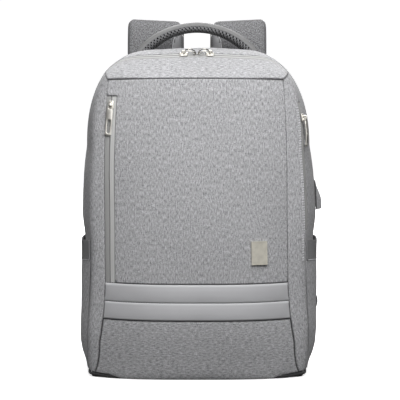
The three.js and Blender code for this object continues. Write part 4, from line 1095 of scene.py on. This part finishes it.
def add_handle():
    centre = HANDLE_TOP - HANDLE_THICK / 2 - HANDLE_RADIUS
    degrees = np.linspace(-61, 61, 240)
    angles = np.radians(degrees)
    path = points(HANDLE_RADIUS * np.sin(angles), HANDLE_Y, centre + HANDLE_RADIUS * np.cos(angles))
    outward = points(np.sin(angles), 0, np.cos(angles))
    ground = gusset(np.clip(path[:, 0] / TOP_FLAT * (1 - TOP_START), -0.24, 0.24), 2.7)[:, 2]
    above = path[:, 2] - 7 > ground - 9
    path, outward = path[above], outward[above]
    flank = ease(np.abs(degrees[above]), 12, 45)[:, None]
    low, high = -HANDLE_THICK / 2, HANDLE_THICK / 2

    def arc(turns, wide, low, high, power=2.7):
        a = signed_power(np.cos(turns), 2 / power) * wide / 2
        return a, lerp(low, high, (signed_power(np.sin(turns), 2 / power) + 1) / 2)

    def swept(a, b):
        swell = flank * (1.5 * ease(b, 0, 5) - 1.2 * ease(-b, 0, 5))
        return sweep(path, np.array([[0, 1, 0]]), outward, a, b + swell)

    a, b = arc(np.linspace(0, 2 * math.pi, 97)[:-1], HANDLE_WIDE - 0.8, low, high - 0.7)
    round_it, along_it = (np.cos(2 * math.pi * run / pitch)
                          for run, pitch in zip((travel(np.stack([a, b], -1)), travel(path)), GRIP_PITCH))
    dent = 1 - 0.9 * ease(along_it[:, None] * round_it[None, :], 0.1, 0.7) / np.hypot(a, b)[None, :]
    # rim paints shade on the grip, darkest on the underside of the handle's arch.
    piece = tube("handle_padding", swept(a * dent, b * dent), GRIP, "handle_grip", flip=True,
                 rim=lerp(0.2, 2.7, ease(b, -5.0, 2.5)))

    turns = np.radians(np.linspace(14, 166, 60))
    outer, inner = arc(turns, HANDLE_WIDE, low, high), arc(turns[::-1], HANDLE_WIDE - 2.4, low + 1.2, high - 1.2)
    a, b = (np.concatenate(lines)[None, :] for lines in zip(outer, inner))
    tube("handle_top", swept(a, b), COVER, "handle_cover", flip=True)


def curve_points(route, count):
    """Evenly spaced points on the smooth curve through a route."""
    route = np.asarray(route, float)
    route = np.concatenate([[2 * route[0] - route[1]], route, [2 * route[-1] - route[-2]]])
    fine, f = [], np.linspace(0, 1, 60)[:-1, None]
    for k in range(len(route) - 3):
        p0, p1, p2, p3 = route[k:k + 4]
        d0, d1, d2 = (max(float(length(b - a)), 1e-9) ** 0.5 for a, b in ((p0, p1), (p1, p2), (p2, p3)))
        t1 = ((p1 - p0) / d0 - (p2 - p0) / (d0 + d1) + (p2 - p1) / d1) * d1
        t2 = ((p2 - p1) / d1 - (p3 - p1) / (d1 + d2) + (p3 - p2) / d2) * d1
        c2, c3 = -3 * p1 + 3 * p2 - 2 * t1 - t2, 2 * p1 - 2 * p2 + t1 + t2
        fine.append(p1 + t1 * f + c2 * f * f + c3 * f ** 3)
    fine = np.concatenate([*fine, route[-2:-1]])
    run = travel(fine)
    return at_marks(np.linspace(0, run[-1], count), run, fine)


def strip_frames(path):
    """For each point of a path: the way across a strip that faces along it, and the way through the strip."""
    along = unit(np.gradient(path, axis=0))
    wide = unit(np.array([1.0, 0, 0]) - along * along[:, :1])
    return wide, np.cross(along, wide)


def fold_line(inner):
    """How far down the lined zone starts at that distance from the strap's inner edge."""
    return FOLD_CURVE - np.sqrt(np.maximum(FOLD_CURVE ** 2 - (inner + 7) ** 2, 0))


def add_strap(side, name):
    """A padded strap with bound edges, and a lining along its inner edge below the shoulder, painted darker
    towards that edge as shade.
    """
    flat = BACK_FACE + SEAM_GAP + STRAP_END_THICKNESS / 2
    route = [(side * (STRAP_X + out * STRAP_SPREAD), flat + back * STRAP_LOOP, up * STRAP_TOP)
             for out, back, up in STRAP_ROUTE]
    path = curve_points(route, 181)
    wide, thick = strip_frames(path)
    share, run, top_row = np.linspace(0, 1, len(path)), travel(path), int(np.argmax(path[:, 2]))
    taper = ease(share, 0.9, 1)
    width = lerp(lerp(STRAP_WIDTH, STRAP_WAIST, ease(share, 0.3, 0.7)), STRAP_END, taper)
    depth = lerp(STRAP_END_THICKNESS, STRAP_THICKNESS, ease(share, 0.06, 0.2) * (1 - taper))

    # The strap's section: shares of its half width, close together at the bound edges.
    seam_share = 0.925
    ends = [1, 0.985, 0.955, seam_share, 0.9, 0.87, 0.83, 0.78]
    columns = np.array([-c for c in ends] + list(np.linspace(-0.7, 0.7, 19)) + ends[::-1])
    n, edge = len(columns), 1 - np.abs(columns)
    thin = np.minimum(depth, 6.0)[:, None] * np.sqrt(np.clip(edge / 0.04, 0, 1))[None, :] * 0.5
    full = lerp(thin, depth[:, None] / 2, ease(edge, 0.04, 0.2)[None, :])
    half = width[:, None] / 2 * columns[None, :]
    across = np.concatenate([half, half[:, -2:0:-1]], 1)
    through = np.concatenate([full, -full[:, -2:0:-1]], 1)
    rings = sweep(path, wide, thick, across, through)

    def corner(reach, radius):
        over = np.clip(reach - (STRAP_WIDTH / 2 - radius), 0, radius)
        return radius - np.sqrt(radius ** 2 - over ** 2)

    out = across * side
    arch = (ease(share, 0.05, 0.16) * (1 - ease(share, 0.28, 0.45)))[:, None]
    rounding = corner(out, OUTER_CORNER) + corner(-out, INNER_CORNER)
    rings[..., 2] -= arch * (1.4 + 0.05 * (STRAP_WIDTH / 2 - out) + 0.85 * rounding)

    crest, inner = np.abs(run - run[top_row])[:, None], STRAP_WIDTH / 2 + out
    facing = (np.arange(len(path)) < top_row)[:, None] & (np.arange(across.shape[1]) >= n)[None, :]
    below = np.where(facing, crest - FOLD_DROP, -1)
    lining_shade_zone = (inner < FOLD_WIDE) & (below > fold_line(inner)) & (below < FOLD_END)
    # Painted shade: rim darkens the strap along its crest and its bound edges, and the lining towards the strap's
    # inner edge.
    rim = np.minimum(1.1 + 0.24 * crest, 0.6 + 1.2 * (STRAP_WIDTH / 2 - np.abs(across)))
    rim = np.where(lining_shade_zone, 0.1 + 2.6 * np.clip(inner / FOLD_WIDE, 0, 1) ** 0.8, rim)
    bound = (np.abs(columns) > 0.93)[:-1] | (np.abs(columns) > 0.93)[1:]
    lined = lining_shade_zone & np.roll(lining_shade_zone, -1, 1)
    kinds = np.concatenate([np.where(bound, 2, 1), np.where(bound, 2, 0)[::-1]])[None, :]
    kinds = np.where(lined[:-1] & lined[1:], 3, kinds)
    piece = tube(f"strap_padding_{name}", rings, [STRAP_CLOTH, MESH, BINDING, LINING], f"strap_{name}",
                 ring_materials=kinds, crease=50, flip=True, rim=rim)

    seam_column = ends.index(seam_share)
    for edge_side, column in ((-1, 2 * n - 2 - seam_column), (1, n - 1 + seam_column)):
        place = "out" if edge_side * side > 0 else "in"
        line = rings[4:-4, column] - thick[4:-4] * 0.1
        stitches(f"strap_stitch_{name}_{place}", [(line, -thick[4:-4])], DARK_THREAD)
    curve = np.linspace(0.5, FOLD_WIDE, 14)
    line = []
    for place, down in [*zip(curve, fold_line(curve)), *((FOLD_WIDE, drop) for drop in np.linspace(26, 58, 9))]:
        row = float(np.interp(run[top_row] - FOLD_DROP - down, run, np.arange(len(run))))
        low = int(row)
        order = np.argsort(inner[low, n:])
        here, above = (at_marks(place, inner[k, n:][order], rings[k, n:][order]) for k in (low, low + 1))
        line.append(lerp(here, above, row - low) - thick[low] * 0.3)
    stitches(f"strap_fold_{name}", [(np.array(line), np.tile([0, -1.0, 0.1], (len(line), 1)))], THREAD,
             pitch=1.7, long=1.8, thick=1.0)
    end, before = curve_points(route, 31)[[-1, -2]]
    return end, unit(end - before)


def add_webbing(side, name, end, step):
    """The webbing from a strap's end, through its adjuster, to a tab at the bag's foot."""
    outward = unit(-np.cross(step, np.array([1.0, 0, 0])))
    drop = BUCKLE_HEIGHT / 2 + SEAM_GAP
    tab_x, tab_y = HALF - TAB_INSET, BACK_FACE + SEAM_GAP + TAB_THICKNESS / 2
    web_x = side * (tab_x + (TAB_WIDTH - WEB_WIDTH) / 2)
    web_y = tab_y + (TAB_THICKNESS + WEB_THICKNESS) / 2 + 2 * SEAM_GAP
    inner = end - outward * ((BUCKLE_THICKNESS + WEB_THICKNESS) / 2 + 2 * SEAM_GAP)
    line = curve_points([
        (web_x, web_y, TAB_Z + 3), (web_x, web_y, TAB_Z + TAB_HEIGHT * 0.45),
        (side * BOWS[side], BACK_FACE + STRAP_LOOP * 0.45, BOW_HEIGHT),
        inner + step * (2 * drop + BUCKLE_BAR), inner + step * drop,
    ], 97)
    wide, thick = strip_frames(line)
    turns = np.linspace(0, 2 * math.pi, 29)[:-1]
    a = signed_power(np.cos(turns), 0.25) * WEB_WIDTH / 2
    b = signed_power(np.sin(turns), 0.5) * WEB_THICKNESS / 2
    tube(f"web_{name}", sweep(line, wide, thick, a, b), WEB, f"webbing_{name}", crease=60, flip=True)

    def flap(u, v):
        low = lerp(-TAB_WIDTH / 2, TAB_WIDTH / 2, u)
        high = lerp(TAB_WIDTH / 2 - WEB_WIDTH, TAB_WIDTH / 2, u)
        return points(side * (lerp(low, high, v) + tab_x), tab_y + TAB_THICKNESS / 2, TAB_HEIGHT * v + TAB_Z)

    us = spaced(0, 1, TAB_WIDTH, 2)[::-side]
    patch(f"tab_cloth_{name}", flap, us, spaced(0, 1, TAB_HEIGHT, 2), BINDING, f"webbing_tab_{name}", "dark_cloth",
          wall=TAB_THICKNESS, radius=1.2, drop=1.0, gap=0)


# ---------- hard pieces ----------

def plate(loops, thickness, bevel):
    """A flat plate with rounded edges, from closed loops of (x, y): its outline and then its holes."""
    curve = bpy.data.curves.new("outline", "CURVE")
    curve.dimensions, curve.fill_mode = "2D", "BOTH"
    curve.extrude, curve.bevel_depth, curve.bevel_resolution = thickness / 2 - bevel, bevel, 2
    curve.offset = -bevel
    for loop in loops:
        spline = curve.splines.new("POLY")
        spline.points.add(len(loop) - 1)
        for point, (x, y) in zip(spline.points, loop):
            point.co = (x, y, 0, 1)
        spline.use_cyclic_u = True
    holder = bpy.data.objects.new("outline", curve)
    flat = bpy.data.meshes.new_from_object(holder)
    mesh = bmesh.new()
    mesh.from_mesh(flat)
    bmesh.ops.remove_doubles(mesh, verts=mesh.verts, dist=1e-4)
    bmesh.ops.recalc_face_normals(mesh, faces=mesh.faces)
    verts = np.array([v.co[:] for v in mesh.verts])
    faces = [[v.index for v in f.verts] for f in mesh.faces]
    mesh.free()
    bpy.data.objects.remove(holder)
    bpy.data.curves.remove(curve)
    bpy.data.meshes.remove(flat)
    return verts, faces


def rounded_box(width, height, radius, x=0.0, y=0.0, step=0.9):
    """A rectangle's outline with round corners, with points close enough to bend."""
    loop = []
    for k, (cx, cy) in enumerate([(1, 1), (-1, 1), (-1, -1), (1, -1)]):
        for turn in np.linspace(0, math.pi / 2, 6):
            angle = turn + k * math.pi / 2
            loop.append((x + cx * (width / 2 - radius) + radius * math.cos(angle),
                         y + cy * (height / 2 - radius) + radius * math.sin(angle)))
    dense = []
    for a, b in zip(loop, loop[1:] + loop[:1]):
        count = max(1, round(math.dist(a, b) / step))
        dense += [(lerp(a[0], b[0], k / count), lerp(a[1], b[1], k / count)) for k in range(count)]
    return dense


# A slider's measures: its base's height over the tape, the arch's foot, the play round the bar, and the bar.
SLIDER_BASE, EYE, CLEAR, BAR = 0.4 + 2.4, 2.1, 0.35, 0.9
HINGE_LIFT = SLIDER_BASE + EYE + CLEAR
# How far a pull's lower corners are rounded.
FOOT = 2.5


def slider_shape():
    """A slider's body and the arch that its pull hangs from, as seen with the tape flat under it."""
    body, body_faces = plate([rounded_box(7.4, 11, 2.2)], 2.4, 0.6)
    top = HINGE_LIFT + BAR + CLEAR + 1.3
    right = [(3.6, 2.2), (3.4, 4.4), (2.9, 5.9), (2.0, top - 0.35), (1.0, top)]
    outline = [(-x, y) for x, y in right[:1]] + right + [(-x, y) for x, y in right[:0:-1]]
    window = rounded_box(2 * (BAR + CLEAR), 3.3, 1.1, 0, HINGE_LIFT + BAR + CLEAR - 1.65)
    arch, arch_faces = plate([outline, window], 3.0, 0.5)
    verts = np.concatenate([body + np.array([0, 0, SEAM_GAP + 1.2]), arch[:, [2, 0, 1]]])
    return verts, body_faces + [[k + len(body) for k in f] for f in arch_faces]


def pull_shape(size, slot, bend, wide, slot_wide, thick):
    """A pull in its hinge's own frame: it hangs along -y, with an eye round the slider's arch and a slot. The
    last result is 1 for the faces that line the eye and the slot, which take painted shade."""
    ys = np.concatenate([BAR * np.cos(np.linspace(0, math.pi / 2, 5)),
                         np.linspace(-0.6, -size + FOOT + 0.1, int(size / 0.8)),
                         -size + FOOT - FOOT * np.sin(np.linspace(0, math.pi / 2, 7))])
    half = lerp(3.3, wide, ease(-ys, 3.5, 9))
    half = half - BAR + np.sqrt(np.clip(BAR ** 2 - np.maximum(ys, 0) ** 2, 0, None))
    foot = np.clip(-ys - (size - FOOT), 0, FOOT)
    half = half - FOOT + np.sqrt(np.clip(FOOT ** 2 - foot ** 2, 0, None))
    outline = [*zip(half, ys), *zip(-half[::-1], ys[::-1])]
    eye = rounded_box(3.9, 4.4, 1.3, 0, -BAR - 2.2)
    slot_hole = rounded_box(slot_wide, slot, slot_wide / 2 - 0.05, 0, -size + 3.2 + slot / 2)
    verts, faces = plate([outline, eye, slot_hole], thick, 0.28 * thick)
    verts[:, 2] += bend * np.sin(math.pi * np.clip(-verts[:, 1] / size, 0, 1))
    lining = min(wide - 1.0, slot_wide / 2 + 0.15)
    kinds = [int(abs(verts[f][:, 0].mean()) < lining and np.ptp(verts[f][:, 2]) > 0.3) for f in faces]
    return verts, faces, kinds


def turned(a, b, angle):
    return a * math.cos(angle) - b * math.sin(angle), a * math.sin(angle) + b * math.cos(angle)


def add_slider(name, point, normal, up, size, slot, reach, bend=0.0, tilt=0.0, wide=4.25, slot_wide=3.7,
               thick=1.8):
    """A slider at a point of its tape, with its pull on the pull's own body. reach is where the pull touches."""
    across = unit(np.cross(up, normal))
    basis = np.stack([across, np.cross(normal, across), normal])
    verts, faces = slider_shape()
    middles, sizes = (np.array([measure(verts[f], 0) for f in faces]) for measure in (np.mean, np.ptp))
    x, y, z = np.abs(middles).T
    # Painted shade: the faces in the arch's window and on the body's lower half take the near-black nickel.
    window = (x < 2.2) & (y < 2.3) & (z > HINGE_LIFT - 2.4) & (z < HINGE_LIFT + 1.3) & (sizes[:, 0] > 0.4)
    make(f"slider_body_{name}", verts @ basis + point, faces, [METAL, PAINTED_SHADE_METAL], f"slider_{name}",
         crease=50, face_materials=(window | (z < SEAM_GAP + 1.1)).astype(int))
    verts, faces, kinds = pull_shape(size, slot, bend, wide, slot_wide, thick)
    x, y, z = verts.T
    x, y = turned(x, y, math.radians(tilt))
    y, z = turned(y, z, math.asin((HINGE_LIFT - BAR - 0.7) / reach))
    make(f"pull_tab_{name}", np.stack([x, y, z + HINGE_LIFT], -1) @ basis + point, faces, [METAL, PAINTED_SHADE_METAL],
         f"pull_{name}", crease=50, face_materials=kinds, body=f"pull_{name}")


def add_sliders():
    def spot(surface, u, v):
        return lifted(surface, -TAPE_SINK)(u, v), normal_of(surface, u, v)

    up = np.array([0, 0, 1.0])
    add_slider("left", *spot(beside_left_seam, TAPE_WIDTH / 2, place_of(354)), up, 40, 18, 38, tilt=-5)
    add_slider("right", *spot(beside_line(SIDE_ZIP_PLACE), 1 - place_of(332), 0), up, 38, 17, 38, bend=1.6)
    q = 17.5 / TOP_FLAT * (1 - TOP_START)
    for name, side in (("top_left", -1), ("top_right", 1)):
        add_slider(name, *spot(beside_line(2), side * q, 0), np.array([side, 0, 0.0]), 16.6, 7.2, 16.6, bend=4.6,
                   wide=3.6, slot_wide=4.8, thick=1.3)


def rounded(node, width, material):
    """Rounds a hard node's edges with modifiers and gives it its finish."""
    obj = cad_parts[node]
    obj.data.materials.clear()
    obj.data.materials.append(material)
    weld = obj.modifiers.new("weld", "WELD")
    weld.merge_threshold = 1e-6
    bevel = obj.modifiers.new("bevel", "BEVEL")
    bevel.width, bevel.segments, bevel.limit_method, bevel.angle_limit = width * MM, 2, "ANGLE", math.radians(35)
    bevel.harden_normals = True


add_front()
add_gusset()
add_base()
add_back()
add_pocket(-1, "left")
add_pocket(1, "right")
add_hood()
add_handle()
for side, name in ((-1, "left"), (1, "right")):
    add_webbing(side, name, *add_strap(side, name))
add_sliders()
rounded("badge", 0.5, BADGE_METAL)
for node in ("adjuster_left", "adjuster_right"):
    rounded(node, 0.8, PLASTIC)
rounded("base_panel", 0.6, BASE_CLOTH)
